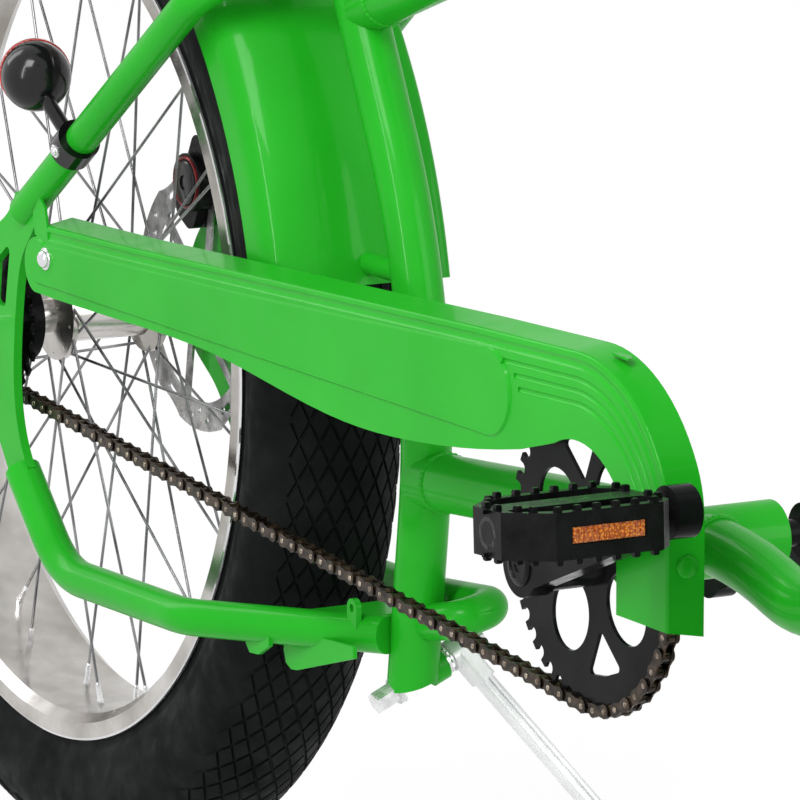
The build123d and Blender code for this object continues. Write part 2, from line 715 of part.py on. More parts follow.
GUARD_FACE = 92.0                # outer face of the guard's side
GUARD_DEPTH = 22.0               # width of its flange
GUARD_DRAFT = 9.0                # degrees the flange opens towards the wheel
GUARD_WALL = 1.8
GUARD_CENTRE = (797.0, 0.0)      # X and Z of the centre of the front corner and its grooves
GUARD_CORNER = 105.0
GUARD_FRONT = 895.7              # X of the front flange's crease
GUARD_BOTTOM = -38.0
GUARD_REAR = 104.0               # where the top flange starts
GUARD_TOP = [(GUARD_REAR, 80), (233, 83.5), (680, 101.5)]
GUARD_LOWER = [
    (91, 34), (230, 34.5), (357, 32.5), (446, 24), (532, 18.5), (614, 22), (674, 28.5), (732, 38)
]
GUARD_CREASE = 2.0
GUARD_PANEL = 1.4                # how far the long pressed panel stands out
GROOVE_END = 16.0                # degrees above level where the pressed grooves end
# pressed grooves: radius round the front corner, rear points, radius of the tool and depth
GROOVES = [
    (98.0, [(112, 74), (233, 77.5), (680, 95)], 4.5, 1.1),
    (89.3, [(712, 86.7)], 1.9, 1.0),
    (82.4, [(725, 80.0)], 1.9, 1.0),
    (75.2, [(730, 72.6)], 1.9, 1.0),
]


def on_guard(radius, angle):
    """A point at this radius and angle round the centre of the guard's front corner."""
    return (GUARD_CENTRE[0] + radius * cos(radians(angle)), GUARD_CENTRE[1] + radius * sin(radians(angle)))


def guard_crest(inset):
    """The top and front edge of the guard, moved in by this much: a crown, a round corner and a straight front."""
    corner = GUARD_CORNER - inset
    Polyline(*[(x, z - inset) for x, z in GUARD_TOP], on_guard(corner, 92))
    ThreePointArc(on_guard(corner, 92), on_guard(corner, 60), on_guard(corner, 30))
    low = (GUARD_FRONT - inset, on_guard(corner, 30)[1] - 29)
    TangentArc(on_guard(corner, 30), low, tangent=(0.5, -0.866))
    return low


def is_crease(edge):
    """True for the edges between the guard's side and its flange."""
    middle = edge @ 0.5
    outer = abs(middle.Y + GUARD_FACE) < 0.01 and middle.X > GUARD_REAR + 5
    return outer and (middle.Z > 79 or middle.X > 860) and middle.Z > GUARD_BOTTOM + 1


with BuildPart() as chain_guard:
    grown = GUARD_DEPTH * tan(radians(GUARD_DRAFT))
    for inset, reach in ((0.0, 0.0), (GUARD_WALL, 60.0)):
        with BuildSketch(crosswise(0, 0, left=GUARD_DEPTH - GUARD_FACE)) as tray:
            with BuildLine():
                low = guard_crest(inset - grown)
                rear = (GUARD_REAR - reach, GUARD_TOP[0][1] - inset + grown)
                if reach:
                    Line(rear, (GUARD_REAR, rear[1]))
                Polyline(low, (low[0], GUARD_BOTTOM - grown - reach), (rear[0], GUARD_BOTTOM - grown - reach), rear)
            make_face()
        mode = Mode.SUBTRACT if reach else Mode.ADD
        extrude(tray.sketch, amount=GUARD_DEPTH, taper=GUARD_DRAFT, mode=mode)
    with BuildSketch(crosswise(0, 0, left=GUARD_WALL - GUARD_FACE)) as side_face:
        with BuildLine():
            low = guard_crest(GUARD_WALL / 2)
            Line(low, (low[0], GUARD_BOTTOM))
            Polyline((low[0], GUARD_BOTTOM), (841, GUARD_BOTTOM), (841, 33))
            ThreePointArc((841, 33), on_guard(54, 90), (770, 48))
            Line((770, 48), GUARD_LOWER[-1])
            Spline(*reversed(GUARD_LOWER))
            ThreePointArc(GUARD_LOWER[0], (77, 52), (94, 71))
            Line((94, 71), (GUARD_REAR, GUARD_TOP[0][1] - GUARD_WALL / 2))
        make_face()
        fillet(side_face.vertices().sort_by(Axis.Z)[:2].sort_by(Axis.X)[0], 14)
    extrude(side_face.sketch, amount=GUARD_WALL)
    crease = chain_guard.edges().filter_by(is_crease)
    fillet(crease, GUARD_CREASE)
    with BuildSketch(crosswise(0, 0, left=GUARD_WALL - GUARD_FACE)) as tab:
        Polygon((93, 72), (90, 87), (100, 98), (108, 92), (112, 77), align=None)
    extrude(tab.sketch, amount=GUARD_WALL)
    with BuildSketch(crosswise(0, 0, left=-GUARD_FACE)) as panel:
        with BuildLine():
            Line((100, 40), (692, 39.5))
            ThreePointArc((692, 39.5), (722, 66), (690, 92.5))
            Polyline((690, 92.5), (532, 84.5), (385, 77.5), (108, 68))
            ThreePointArc((108, 68), (84, 52.5), (100, 40))
        make_face()
    extrude(panel.sketch, amount=GUARD_PANEL, taper=45)
    for radius, start, tool, depth in GROOVES:
        centre_line = Plane.XZ.offset(GUARD_FACE + tool - depth)
        with BuildLine(centre_line) as groove:
            Polyline(*start, on_guard(radius, 91.7))
            ThreePointArc(on_guard(radius, 91.7), on_guard(radius, 50), on_guard(radius, GROOVE_END))
        with BuildSketch(Plane(groove.line @ 0, z_dir=groove.line % 0)) as press:
            Circle(tool)
        sweep(press.sketch, path=groove.line, mode=Mode.SUBTRACT)
finish(chain_guard, "chain_guard")

# ---------------------------------------------------------------- fenders


def fender(x, start, sweep_angle, inner=FENDER_INNER):
    """A rolled fender: a rounded crown and two skirts, turned part of the way round the wheel."""
    angle = radians(start)
    radial = Vector(cos(angle), 0, sin(angle))
    across = Plane((x, 0, 0), x_dir=(0, 1, 0), z_dir=Vector(0, 1, 0).cross(radial))
    skirt = inner + FENDER_WALL - FENDER_DEPTH
    with BuildSketch(across) as section:
        for gap, low, mode in ((0.0, skirt, Mode.ADD), (FENDER_WALL, skirt - 5, Mode.SUBTRACT)):
            half = FENDER_HALF_WIDTH - gap
            top = inner + FENDER_WALL - gap
            with BuildLine():
                Spline(
                    (-half, top - 28),
                    (17 - half, top - 6.5),
                    (0, top),
                    (half - 17, top - 6.5),
                    (half, top - 28),
                    tangents=[(0, 1), (0, -1)],
                )
                Polyline((half, top - 28), (half, low), (-half, low), (-half, top - 28))
            make_face(mode=mode)
    revolve(section.sketch, axis=Axis((x, 0, 0), (0, -1, 0)), revolution_arc=sweep_angle)


def fender_wires(x, line, low_eye, high_eye):
    """A wire stay on each side, from an eye on the wheel's end plate to an eye on the fender's skirt."""
    low_line = line + STAY_EYE_THICKNESS / 2
    high_line = FENDER_HALF_WIDTH + STAY_EYE_THICKNESS / 2
    for side in (-1, 1):
        for eye_x, eye_z, middle in ((*low_eye, low_line), (*high_eye, high_line)):
            near = side * middle + STAY_EYE_THICKNESS / 2
            with BuildSketch(crosswise(x + eye_x, eye_z, left=near)) as eye:
                Circle(STAY_EYE)
            extrude(eye.sketch, amount=STAY_EYE_THICKNESS)
        round_bar(
            [
                (x + low_eye[0], side * low_line, low_eye[1] + 1),
                (x + low_eye[0] - 45, side * low_line, low_eye[1] + 5),
                (x + high_eye[0], side * high_line, high_eye[1]),
            ],
            [60],
            STAY_WIRE,
        )


CROWN = (452.0, 469.5)           # the fork's crown, along the steerer
FENDER_BRIDGE = 7.0              # radius of the bars that hold the fenders to the frame
FENDER_BOLT = radians(13)        # where the rear fender is bolted to the seat tube
BRIDGE_Z = (FENDER_INNER + 1) * sin(FENDER_BOLT)

with BuildPart() as rear_fender:
    fender(0, 11, 185)
    round_bar([((FENDER_INNER + 1) * cos(FENDER_BOLT), 0, BRIDGE_Z), (450, 0, BRIDGE_Z)], [], FENDER_BRIDGE)
    fender_wires(0, DROPOUT_FACE + DROPOUT_THICKNESS, (-22, 18), (-361, -52))
    add(seat_tube.part, mode=Mode.SUBTRACT)
finish(rear_fender, "rear_fender")

with BuildPart() as front_fender:
    fender(WHEELBASE, 50, 150, inner=384)
    round_bar([along_steerer(384, ahead=2), along_steerer(CROWN[0])], [], FENDER_BRIDGE)
    fender_wires(WHEELBASE, FORK_FACE + FORK_END_THICKNESS, (-17, 6), (-354, 34))

# ---------------------------------------------------------------- fork, stem and handlebar

STEERER = 14.3
STEERER_ENDS = (440.0, 716.0)
CROWN_RADIUS = 20.0

with BuildPart() as headset:
    for low, high in ((470, HEAD_TUBE_ENDS[0]), (HEAD_TUBE_ENDS[1], 662)):
        with BuildSketch(steerer_plane(low)):
            Circle(HEAD_TUBE + 1.5)
            Circle(STEERER + PIVOT_GAP, mode=Mode.SUBTRACT)
        extrude(amount=high - low)
finish(headset, "headset")

with BuildPart() as fork:
    with BuildSketch(steerer_plane(STEERER_ENDS[0])):
        Circle(STEERER)
    extrude(amount=STEERER_ENDS[1] - STEERER_ENDS[0])
    with BuildSketch(steerer_plane(CROWN[0])):
        Circle(CROWN_RADIUS)
    extrude(amount=CROWN[1] - CROWN[0])
    for side in (-1, 1):
        round_bar(
            [
                along_steerer(CROWN[0], left=side * 4),
                along_steerer(STEERER_ENDS[0], left=side * FORK_LEG_LINE),
                along_steerer(170, left=side * FORK_LEG_LINE),
                along_steerer(26, left=side * FORK_LEG_LINE, ahead=44),
            ],
            [32, 260],
            FORK_LEG,
        )
        end = left_face(side, FORK_FACE, FORK_FACE + FORK_END_THICKNESS)
        with BuildSketch(crosswise(WHEELBASE, 0, left=end)):
            Circle(17)
            with Locations((-8, 20)):
                Rectangle(30, 40)
        extrude(amount=FORK_END_THICKNESS)
    with BuildSketch(crosswise(WHEELBASE, 0, left=100)) as axle_hole:
        Circle(AXLE)
    extrude(axle_hole.sketch, amount=200, mode=Mode.SUBTRACT)
finish(fork, "fork")

with BuildPart() as front_fender_fitted:
    add(front_fender.part)
    add(fork.part, mode=Mode.SUBTRACT)
finish(front_fender_fitted, "front_fender")

CLAMP_UP = 700.0
CLAMP_AHEAD = 48.0
BAR = 11.1
BAR_CLAMP = 12.7
BAR_END = Vector(850, 350, 775)
BAR_BEND = Vector(1085, 300, 800)
clamp = along_steerer(CLAMP_UP, ahead=CLAMP_AHEAD)

with BuildPart() as handlebar:
    half_route = [
        Vector(clamp.X, 0, clamp.Z),
        Vector(clamp.X, 60, clamp.Z),
        Vector(1150, 150, 765),
        BAR_BEND,
        BAR_END,
    ]
    full_route = [Vector(p.X, -p.Y, p.Z) for p in reversed(half_route[1:])] + half_route[1:]
    round_bar(full_route, [60, 60, 60, 60, 60, 60], BAR)
finish(handlebar, "handlebar")

with BuildPart() as stem:
    with BuildSketch(steerer_plane(680)):
        Circle(20)
    extrude(amount=40)
    with BuildSketch(Plane(along_steerer(CLAMP_UP), z_dir=clamp - along_steerer(CLAMP_UP))):
        Circle(15)
    extrude(amount=CLAMP_AHEAD)
    with BuildSketch(crosswise(clamp.X, clamp.Z, left=24)):
        Circle(20)
    extrude(amount=48)
    add(fork.part, mode=Mode.SUBTRACT)
    add(handlebar.part, mode=Mode.SUBTRACT)
finish(stem, "stem")

grip_run = (BAR_END - BAR_BEND).normalized()
with BuildPart() as grips:
    for side in (-1, 1):
        start = BAR_END - grip_run * 130
        end = BAR_END + grip_run * 4
        direction = Vector(grip_run.X, side * grip_run.Y, grip_run.Z)
        with BuildSketch(Plane((start.X, side * start.Y, start.Z), z_dir=direction)):
            Circle(16)
        extrude(amount=(end - start).length)
    add(handlebar.part, mode=Mode.SUBTRACT)
finish(grips, "grips")

with BuildPart() as brake_levers:
    for side in (-1, 1):
        place = BAR_END - grip_run * 150
        direction = Vector(grip_run.X, side * grip_run.Y, grip_run.Z)
        place = Vector(place.X, side * place.Y, place.Z)
        with BuildSketch(Plane(place - direction * 9, z_dir=direction)):
            Circle(17)
        extrude(amount=18)
        pivot = place + Vector(24, -side * 4, -24)
        round_bar(
            [place + Vector(6, 0, -8), pivot, pivot + direction * 118 + Vector(0, 0, -12)],
            [5.5],
            4.5,
        )
    add(handlebar.part, mode=Mode.SUBTRACT)
finish(brake_levers, "brake_levers")

# ---------------------------------------------------------------- saddle

SEAT_TOP = Vector(*SEAT_TUBE_ROUTE[-1])
SEAT_RUN = (SEAT_TOP - Vector(*SEAT_TUBE_ROUTE[-2])).normalized()
POST = 13.6
POST_TOP = SEAT_TOP + SEAT_RUN * 130

with BuildPart() as seatpost:
    with BuildSketch(Plane(SEAT_TOP, z_dir=SEAT_RUN)):
        Circle(POST)
    extrude(amount=130)
finish(seatpost, "seatpost")

with BuildPart() as seat_clamp:
    with BuildSketch(Plane(SEAT_TOP - SEAT_RUN * 16, z_dir=SEAT_RUN)):
        Circle(SEAT_TUBE + 4)
    extrude(amount=18)
    add(seat_tube.part, mode=Mode.SUBTRACT)
    add(seatpost.part, mode=Mode.SUBTRACT)
finish(seat_clamp, "seat_clamp")

with BuildPart() as saddle_frame:
    with BuildSketch(crosswise(POST_TOP.X, POST_TOP.Z + 8, left=24)):
        Circle(16)
    extrude(amount=48)
    for side in (-1, 1):
        round_bar(
            [
                (POST_TOP.X + 120, side * 20, POST_TOP.Z + 28),
                (POST_TOP.X + 40, side * 20, POST_TOP.Z + 8),
                (POST_TOP.X - 60, side * 20, POST_TOP.Z + 8),
                (POST_TOP.X - 92, side * 60, POST_TOP.Z + 8),
            ],
            [30, 24],
            3.5,
        )
        with BuildSketch(Plane((POST_TOP.X - 92, side * 62, POST_TOP.Z))):
            Circle(18)
        extrude(amount=46)
    add(seatpost.part, mode=Mode.SUBTRACT)
finish(saddle_frame, "saddle_frame")

with BuildPart() as saddle:
    with BuildSketch(Plane((POST_TOP.X, 0, POST_TOP.Z + 46))):
        with BuildLine():
            half = [(138, 24), (80, 40), (20, 72), (-40, 116), (-98, 118), (-128, 70)]
            Spline((146, 0), *half, (-130, 0), *[(a, -b) for a, b in half[::-1]], periodic=True)
        make_face()
    extrude(amount=44)
    fillet(saddle.edges().group_by(Axis.Z)[-1], 10)
finish(saddle, "saddle")

# ---------------------------------------------------------------- brakes, reflector, stand

CALIPER_GAP = 3.4                # slot for the rotor, which is 2 mm thick


def caliper(x, z, turn, line, keep_clear):
    """A disc brake's body: a rounded block with a round cylinder cap and a fixing arm, slotted for the rotor."""
    with BuildSketch(crosswise(x, z, left=line + 20)) as cap:
        Circle(20)
    extrude(cap.sketch, amount=34)
    with BuildSketch(crosswise(x, z, left=line + 13)) as body:
        with Locations(Location((0, 0), turn)):
            RectangleRounded(66, 30, 9)
    extrude(body.sketch, amount=22)
    with BuildSketch(crosswise(x, z, left=line + CALIPER_GAP / 2)) as gap:
        with Locations((keep_clear[0] - x, keep_clear[1] - z)):
            Circle(ROTOR + 3)
    extrude(gap.sketch, amount=CALIPER_GAP, mode=Mode.SUBTRACT)


with BuildPart() as rear_caliper:
    caliper(8, 84, 62, REAR_ROTOR_LINE, (0, 0))
    add(dropout_left.part, mode=Mode.SUBTRACT)
    add(seat_stay_left.part, mode=Mode.SUBTRACT)
finish(rear_caliper, "rear_caliper")

with BuildPart() as front_caliper:
    caliper(WHEELBASE - 84, 56, 60, FRONT_ROTOR_LINE, (WHEELBASE, 0))
    add(fork.part, mode=Mode.SUBTRACT)
finish(front_caliper, "front_caliper")

REFLECTOR = 23.0                 # radius of the reflector's bell
REFLECTOR_AIM = Vector(0.93, -0.36, -0.05)

with BuildPart() as seat_stay_reflector:
    stay_run = Vector(SEAT_STAY_KNEE[0] - STAY_UPPER[0], 0, SEAT_STAY_KNEE[2] - STAY_UPPER[1]).normalized()
    place = Vector(STAY_UPPER[0], -STAY_LINE, STAY_UPPER[1]) + stay_run * 85
    bell = place + Vector(-42, -4, 44)
    with BuildSketch(Plane(place, z_dir=stay_run)) as band:
        Circle(SEAT_STAY + 3.5)
    extrude(band.sketch, amount=16)
    round_bar([place + stay_run * 8, place + Vector(-20, -4, 26), bell], [14], 5)
    with BuildSketch(Plane(bell, x_dir=REFLECTOR_AIM, z_dir=REFLECTOR_AIM.cross(Vector(0, 0, 1)))) as dome:
        with BuildLine():
            ThreePointArc((REFLECTOR - 2, 0), (REFLECTOR * 0.7, REFLECTOR * 0.7), (0, REFLECTOR))
            Polyline((0, REFLECTOR), (-8, REFLECTOR), (-10, REFLECTOR - 2), (-12, 0), (REFLECTOR - 2, 0))
        make_face()
    revolve(dome.sketch, axis=Axis(bell, REFLECTOR_AIM))
    add(seat_stay_right.part, mode=Mode.SUBTRACT)
finish(seat_stay_reflector, "seat_stay_reflector")

STAND_EYE = 10.0                 # radius of the knuckle's eye
STAND_EYE_HALF = 8.0
STAND_KNUCKLE = 24.0             # from the bolt to the shoulder where the leg starts
STAND_KNUCKLE_WIDTH = 12.5
STAND_LEG_SIZE = 11.5

pivot = bolt_foot + bolt_axis * STAND_PIVOT_ALONG
leg = Vector(*STAND_LEG).normalized()
leg_broad = (bolt_axis - leg * bolt_axis.dot(leg)).normalized()
tip_height = TYRE_CENTRE * cos(radians(LEAN)) + TYRE_SECTION
drop = leg.Y * sin(radians(LEAN)) - leg.Z * cos(radians(LEAN))
leg_length = (tip_height - STAND_FOOT - pivot.Y * sin(radians(LEAN)) + pivot.Z * cos(radians(LEAN))) / drop

with BuildPart() as kickstand:
    with BuildSketch(Plane(pivot - bolt_axis * STAND_EYE_HALF, z_dir=bolt_axis)) as eye:
        Circle(STAND_EYE)
    extrude(eye.sketch, amount=2 * STAND_EYE_HALF)
    with BuildSketch(Plane(pivot, x_dir=leg_broad, z_dir=leg)) as knuckle:
        RectangleRounded(STAND_KNUCKLE_WIDTH, 2 * STAND_EYE, 3)
    extrude(knuckle.sketch, amount=STAND_KNUCKLE)
    with BuildSketch(Plane(pivot, x_dir=leg_broad, z_dir=leg)) as channel:
        RectangleRounded(STAND_LEG_SIZE, STAND_LEG_SIZE, 3)
        for across in (-STAND_LEG_SIZE / 2, STAND_LEG_SIZE / 2):
            with Locations((0, across)):
                Rectangle(3.5, 4, mode=Mode.SUBTRACT)
    extrude(channel.sketch, amount=leg_length)
    with Locations(Location(pivot + leg * leg_length)):
        Sphere(STAND_FOOT)
    with BuildSketch(Plane(pivot - bolt_axis * 2 * STAND_EYE, z_dir=bolt_axis)) as bore:
        Circle(STAND_BOLT + PIVOT_GAP)
    extrude(bore.sketch, amount=4 * STAND_EYE, mode=Mode.SUBTRACT)
finish(kickstand, "kickstand")

STAND_BOLT_ENDS = (-28.0, 54.0)  # along the bolt from the middle plane
# discs on the bolt: distance along it from the middle plane, length and radius
STAND_DISCS = [(-13, 3, 9), (-28, 15, 7.5), (25, 1.8, 9), (27.4, 2.2, 8), (47, 2, 9), (49, 6, 8)]

with BuildPart() as stand_bolt:
    with BuildSketch(Plane(bolt_foot + bolt_axis * STAND_BOLT_ENDS[0], z_dir=bolt_axis)) as shaft:
        Circle(STAND_BOLT)
    extrude(shaft.sketch, amount=STAND_BOLT_ENDS[1] - STAND_BOLT_ENDS[0])
    for along, length, radius in STAND_DISCS:
        with BuildSketch(Plane(bolt_foot + bolt_axis * along, z_dir=bolt_axis)) as disc:
            if length > 5:
                RegularPolygon(radius, 6)
            else:
                Circle(radius)
        extrude(disc.sketch, amount=length)
    add(seat_tube.part, mode=Mode.SUBTRACT)
finish(stand_bolt, "stand_bolt")

# ---------------------------------------------------------------- lean, stand and write

leaning = [piece.moved(Location((0, 0, 0), (-LEAN, 0, 0))) for piece in finished]
box = Compound(leaning).bounding_box()
standing = Location((-box.center().X, -box.center().Y, -box.min.Z))
os.makedirs("parts", exist_ok=True)
for piece, source in zip(leaning, finished):
    placed = piece.moved(standing)
    placed.label = source.label
    export_step(placed, f"parts/{source.label}.step")
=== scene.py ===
import json
import math
from math import cos, pi, radians, sin

import bpy
from mathutils import Matrix, Vector


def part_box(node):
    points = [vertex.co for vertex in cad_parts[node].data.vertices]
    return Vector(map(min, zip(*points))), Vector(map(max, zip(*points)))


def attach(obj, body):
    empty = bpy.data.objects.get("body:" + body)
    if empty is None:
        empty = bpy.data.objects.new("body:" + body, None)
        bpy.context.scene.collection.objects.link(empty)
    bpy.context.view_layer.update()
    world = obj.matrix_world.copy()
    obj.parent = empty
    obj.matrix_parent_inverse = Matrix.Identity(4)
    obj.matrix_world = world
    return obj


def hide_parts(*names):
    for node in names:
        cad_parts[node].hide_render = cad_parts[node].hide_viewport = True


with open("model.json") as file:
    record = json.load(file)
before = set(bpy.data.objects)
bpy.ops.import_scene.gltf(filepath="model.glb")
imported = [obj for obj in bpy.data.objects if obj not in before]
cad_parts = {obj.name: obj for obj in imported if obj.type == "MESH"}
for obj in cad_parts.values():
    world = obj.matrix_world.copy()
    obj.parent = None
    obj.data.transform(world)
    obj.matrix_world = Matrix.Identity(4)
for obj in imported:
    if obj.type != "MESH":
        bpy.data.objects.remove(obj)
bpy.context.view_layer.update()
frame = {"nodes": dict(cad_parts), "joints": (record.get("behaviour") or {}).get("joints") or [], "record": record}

JOINTS = {joint["name"]: joint for joint in frame["joints"]}

# The bicycle leans on its stand. "place" carries its own upright frame, with the origin in the
# rear axle, X forward, Y to the rider's left and Z up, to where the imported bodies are.
LEFT = Vector(JOINTS["rear_wheel_spin"]["axis"])
AXLE = Vector(JOINTS["rear_wheel_spin"]["pos_m"])
FORWARD = Vector((1, 0, 0))
UP = FORWARD.cross(LEFT)
place = Matrix.Translation(AXLE) @ Matrix((FORWARD, LEFT, UP)).transposed().to_4x4()
MM = place @ Matrix.Scale(0.001, 4)


def joint_point(name):
    """A joint's own point in upright millimetres."""
    return MM.inverted() @ Vector(JOINTS[name]["pos_m"])


def joint_line(name):
    """The direction of a joint's axis in the upright frame."""
    return place.to_3x3().inverted() @ Vector(JOINTS[name]["axis"])


# ---------------------------------------------------------------- camera

EYE = Vector((3.8962, -1.9158, 0.7529))
YAW = radians(61.118)
PITCH = radians(10.642)
LENS = 291.9


def set_camera():
    """The photograph's view: from ahead and to the right through a long lens, tilted as the bicycle leans."""
    camera = bpy.data.objects.new("camera", bpy.data.cameras.new("camera"))
    bpy.context.scene.collection.objects.link(camera)
    look = Vector((-sin(YAW) * cos(PITCH), cos(YAW) * cos(PITCH), -sin(PITCH)))
    right = look.cross(Vector((0, 0, 1))).normalized()
    turned = Matrix((right, right.cross(look), -look)).transposed().to_4x4()
    camera.matrix_world = place @ Matrix.Translation(EYE) @ turned
    camera.data.lens = LENS
    camera.data.sensor_width = 36.0
    camera.data.clip_end = 60.0
    bpy.context.scene.camera = camera


set_camera()


# ---------------------------------------------------------------- stage and light


def seen_by_eye(tree):
    """A socket that is 1 for rays from the camera and for mirror and glass rays, and 0 for the rest."""
    path = tree.nodes.new("ShaderNodeLightPath")
    first = tree.nodes.new("ShaderNodeMath")
    both = tree.nodes.new("ShaderNodeMath")
    first.operation = "MAXIMUM"
    both.operation = "MAXIMUM"
    tree.links.new(path.outputs["Is Camera Ray"], first.inputs[0])
    tree.links.new(path.outputs["Is Glossy Ray"], first.inputs[1])
    tree.links.new(first.outputs[0], both.inputs[0])
    tree.links.new(path.outputs["Is Transmission Ray"], both.inputs[1])
    return both.outputs[0]


def set_stage():
    """A pale floor that the camera sees as nearly white, with the bicycle's faint shadow."""
    bpy.ops.mesh.primitive_plane_add(size=40, location=(0, 0, 0))
    floor = bpy.context.object
    floor.name = "floor"
    mat = bpy.data.materials.new("floor")
    mat.use_nodes = True
    tree = mat.node_tree
    tree.nodes.clear()
    out = tree.nodes.new("ShaderNodeOutputMaterial")
    mix = tree.nodes.new("ShaderNodeMixShader")
    diffuse = tree.nodes.new("ShaderNodeBsdfDiffuse")
    glow = tree.nodes.new("ShaderNodeEmission")
    share = tree.nodes.new("ShaderNodeMath")
    diffuse.inputs["Color"].default_value = (0.85, 0.85, 0.85, 1)
    glow.inputs["Strength"].default_value = FLOOR_LEVEL
    share.operation = "MULTIPLY"
    share.inputs[1].default_value = FLOOR_GLOW
    tree.links.new(seen_by_eye(tree), share.inputs[0])
    tree.links.new(share.outputs[0], mix.inputs[0])
    tree.links.new(diffuse.outputs[0], mix.inputs[1])
    tree.links.new(glow.outputs[0], mix.inputs[2])
    tree.links.new(mix.outputs[0], out.inputs[0])
    floor.data.materials.append(mat)


def set_world():
    """A white backdrop for the eye and for reflections, and a gentler light on surfaces."""
    world = bpy.data.worlds.new("studio")
    bpy.context.scene.world = world
    world.use_nodes = True
    tree = world.node_tree
    back = tree.nodes["Background"]
    level = tree.nodes.new("ShaderNodeMapRange")
    tree.links.new(seen_by_eye(tree), level.inputs["Value"])
    level.inputs["To Min"].default_value = SKY_LEVEL
    level.inputs["To Max"].default_value = 1.0
    tree.links.new(level.outputs[0], back.inputs["Strength"])
    back.inputs["Color"].default_value = (1, 1, 1, 1)


def area_light(name, position, target, size, power):
    """A soft rectangular lamp, placed and aimed in the bicycle's upright frame, in metres."""
    lamp = bpy.data.objects.new(name, bpy.data.lights.new(name, "AREA"))
    bpy.context.scene.collection.objects.link(lamp)
    lamp.data.shape = "RECTANGLE"
    lamp.data.size, lamp.data.size_y = size
    lamp.data.energy = power
    aim = (Vector(target) - Vector(position)).to_track_quat("-Z", "Y").to_matrix().to_4x4()
    lamp.matrix_world = place @ Matrix.Translation(Vector(position)) @ aim
    return lamp


FLOOR_GLOW = 0.9
FLOOR_LEVEL = 1.05
SKY_LEVEL = 0.42

set_stage()
set_world()
key = area_light("key", (2.2, -2.6, 3.2), (0.4, 0, 0.1), (1.8, 1.8), 115)
key.data.specular_factor = 0.45
area_light("fill", (3.5, 1.5, 1.0), (0.4, 0, 0.1), (2.0, 2.0), 34)
area_light("strip", (1.5, -2.9, 1.0), (0.3, 0, 0.2), (0.2, 1.9), 26)
area_light("rim_light", (-2.5, -1.5, 2.2), (0.2, 0, 0.1), (1.2, 2.4), 30)
bpy.context.scene.view_settings.view_transform = "Standard"


# ---------------------------------------------------------------- materials


class Finish:
    """A node material whose colour, roughness and relief vary by soft noise in the object's own space."""

    def __init__(self, name, colour, metallic=0.0, roughness=0.5, specular=0.5, coat=0.0):
        self.material = bpy.data.materials.new(name)
        self.material.use_nodes = True
        self.tree = self.material.node_tree
        self.shader = self.tree.nodes["Principled BSDF"]
        self.shader.inputs["Base Color"].default_value = (*colour, 1)
        self.shader.inputs["Metallic"].default_value = metallic
        self.shader.inputs["Roughness"].default_value = roughness
        self.shader.inputs["Specular IOR Level"].default_value = specular
        self.shader.inputs["Coat Weight"].default_value = coat
        self.shader.inputs["Coat Roughness"].default_value = 0.06
        self.height = None

    def link(self, out, into):
        self.tree.links.new(out, into)
        return self

    def coordinates(self, stretch=(1, 1, 1), turn=(0, 0, 0)):
        where = self.tree.nodes.new("ShaderNodeTexCoord")
        mapping = self.tree.nodes.new("ShaderNodeMapping")
        mapping.inputs["Scale"].default_value = stretch
        mapping.inputs["Rotation"].default_value = turn
        self.link(where.outputs["Object"], mapping.inputs["Vector"])
        return mapping.outputs["Vector"]

    def noise(self, scale, detail=2.0, stretch=(1, 1, 1)):
        node = self.tree.nodes.new("ShaderNodeTexNoise")
        node.inputs["Scale"].default_value = scale
        node.inputs["Detail"].default_value = detail
        self.link(self.coordinates(stretch), node.inputs["Vector"])
        return node.outputs["Fac"]

    def cells(self, scale, feature="F1", stretch=(1, 1, 1)):
        node = self.tree.nodes.new("ShaderNodeTexVoronoi")
        node.feature = feature
        node.inputs["Scale"].default_value = scale
        self.link(self.coordinates(stretch), node.inputs["Vector"])
        return node.outputs["Distance"]

    def spread(self, value, low, high, start=0.35, end=0.65):
        """Maps a noise's middle range to low..high."""
        node = self.tree.nodes.new("ShaderNodeMapRange")
        node.inputs["From Min"].default_value = start
        node.inputs["From Max"].default_value = end
        node.inputs["To Min"].default_value = low
        node.inputs["To Max"].default_value = high
        self.link(value, node.inputs["Value"])
        return node.outputs["Result"]

    def tint(self, value, low, high, start=0.35, end=0.65):
        """Colours the surface from low to high as the value rises."""
        ramp = self.tree.nodes.new("ShaderNodeValToRGB")
        ramp.color_ramp.elements[0].position = start
        ramp.color_ramp.elements[0].color = (*low, 1)
        ramp.color_ramp.elements[1].position = end
        ramp.color_ramp.elements[1].color = (*high, 1)
        self.link(value, ramp.inputs["Fac"])
        return self.link(ramp.outputs["Color"], self.shader.inputs["Base Color"])

    def rough(self, value, low, high):
        return self.link(self.spread(value, low, high), self.shader.inputs["Roughness"])

    def relief(self, value, distance, strength=1.0):
        """Adds a bump; a later one sits on top of an earlier one."""
        bump = self.tree.nodes.new("ShaderNodeBump")
        bump.inputs["Distance"].default_value = distance
        bump.inputs["Strength"].default_value = strength
        self.link(value, bump.inputs["Height"])
        if self.height:
            self.link(self.height, bump.inputs["Normal"])
        self.height = bump.outputs["Normal"]
        return self.link(self.height, self.shader.inputs["Normal"])


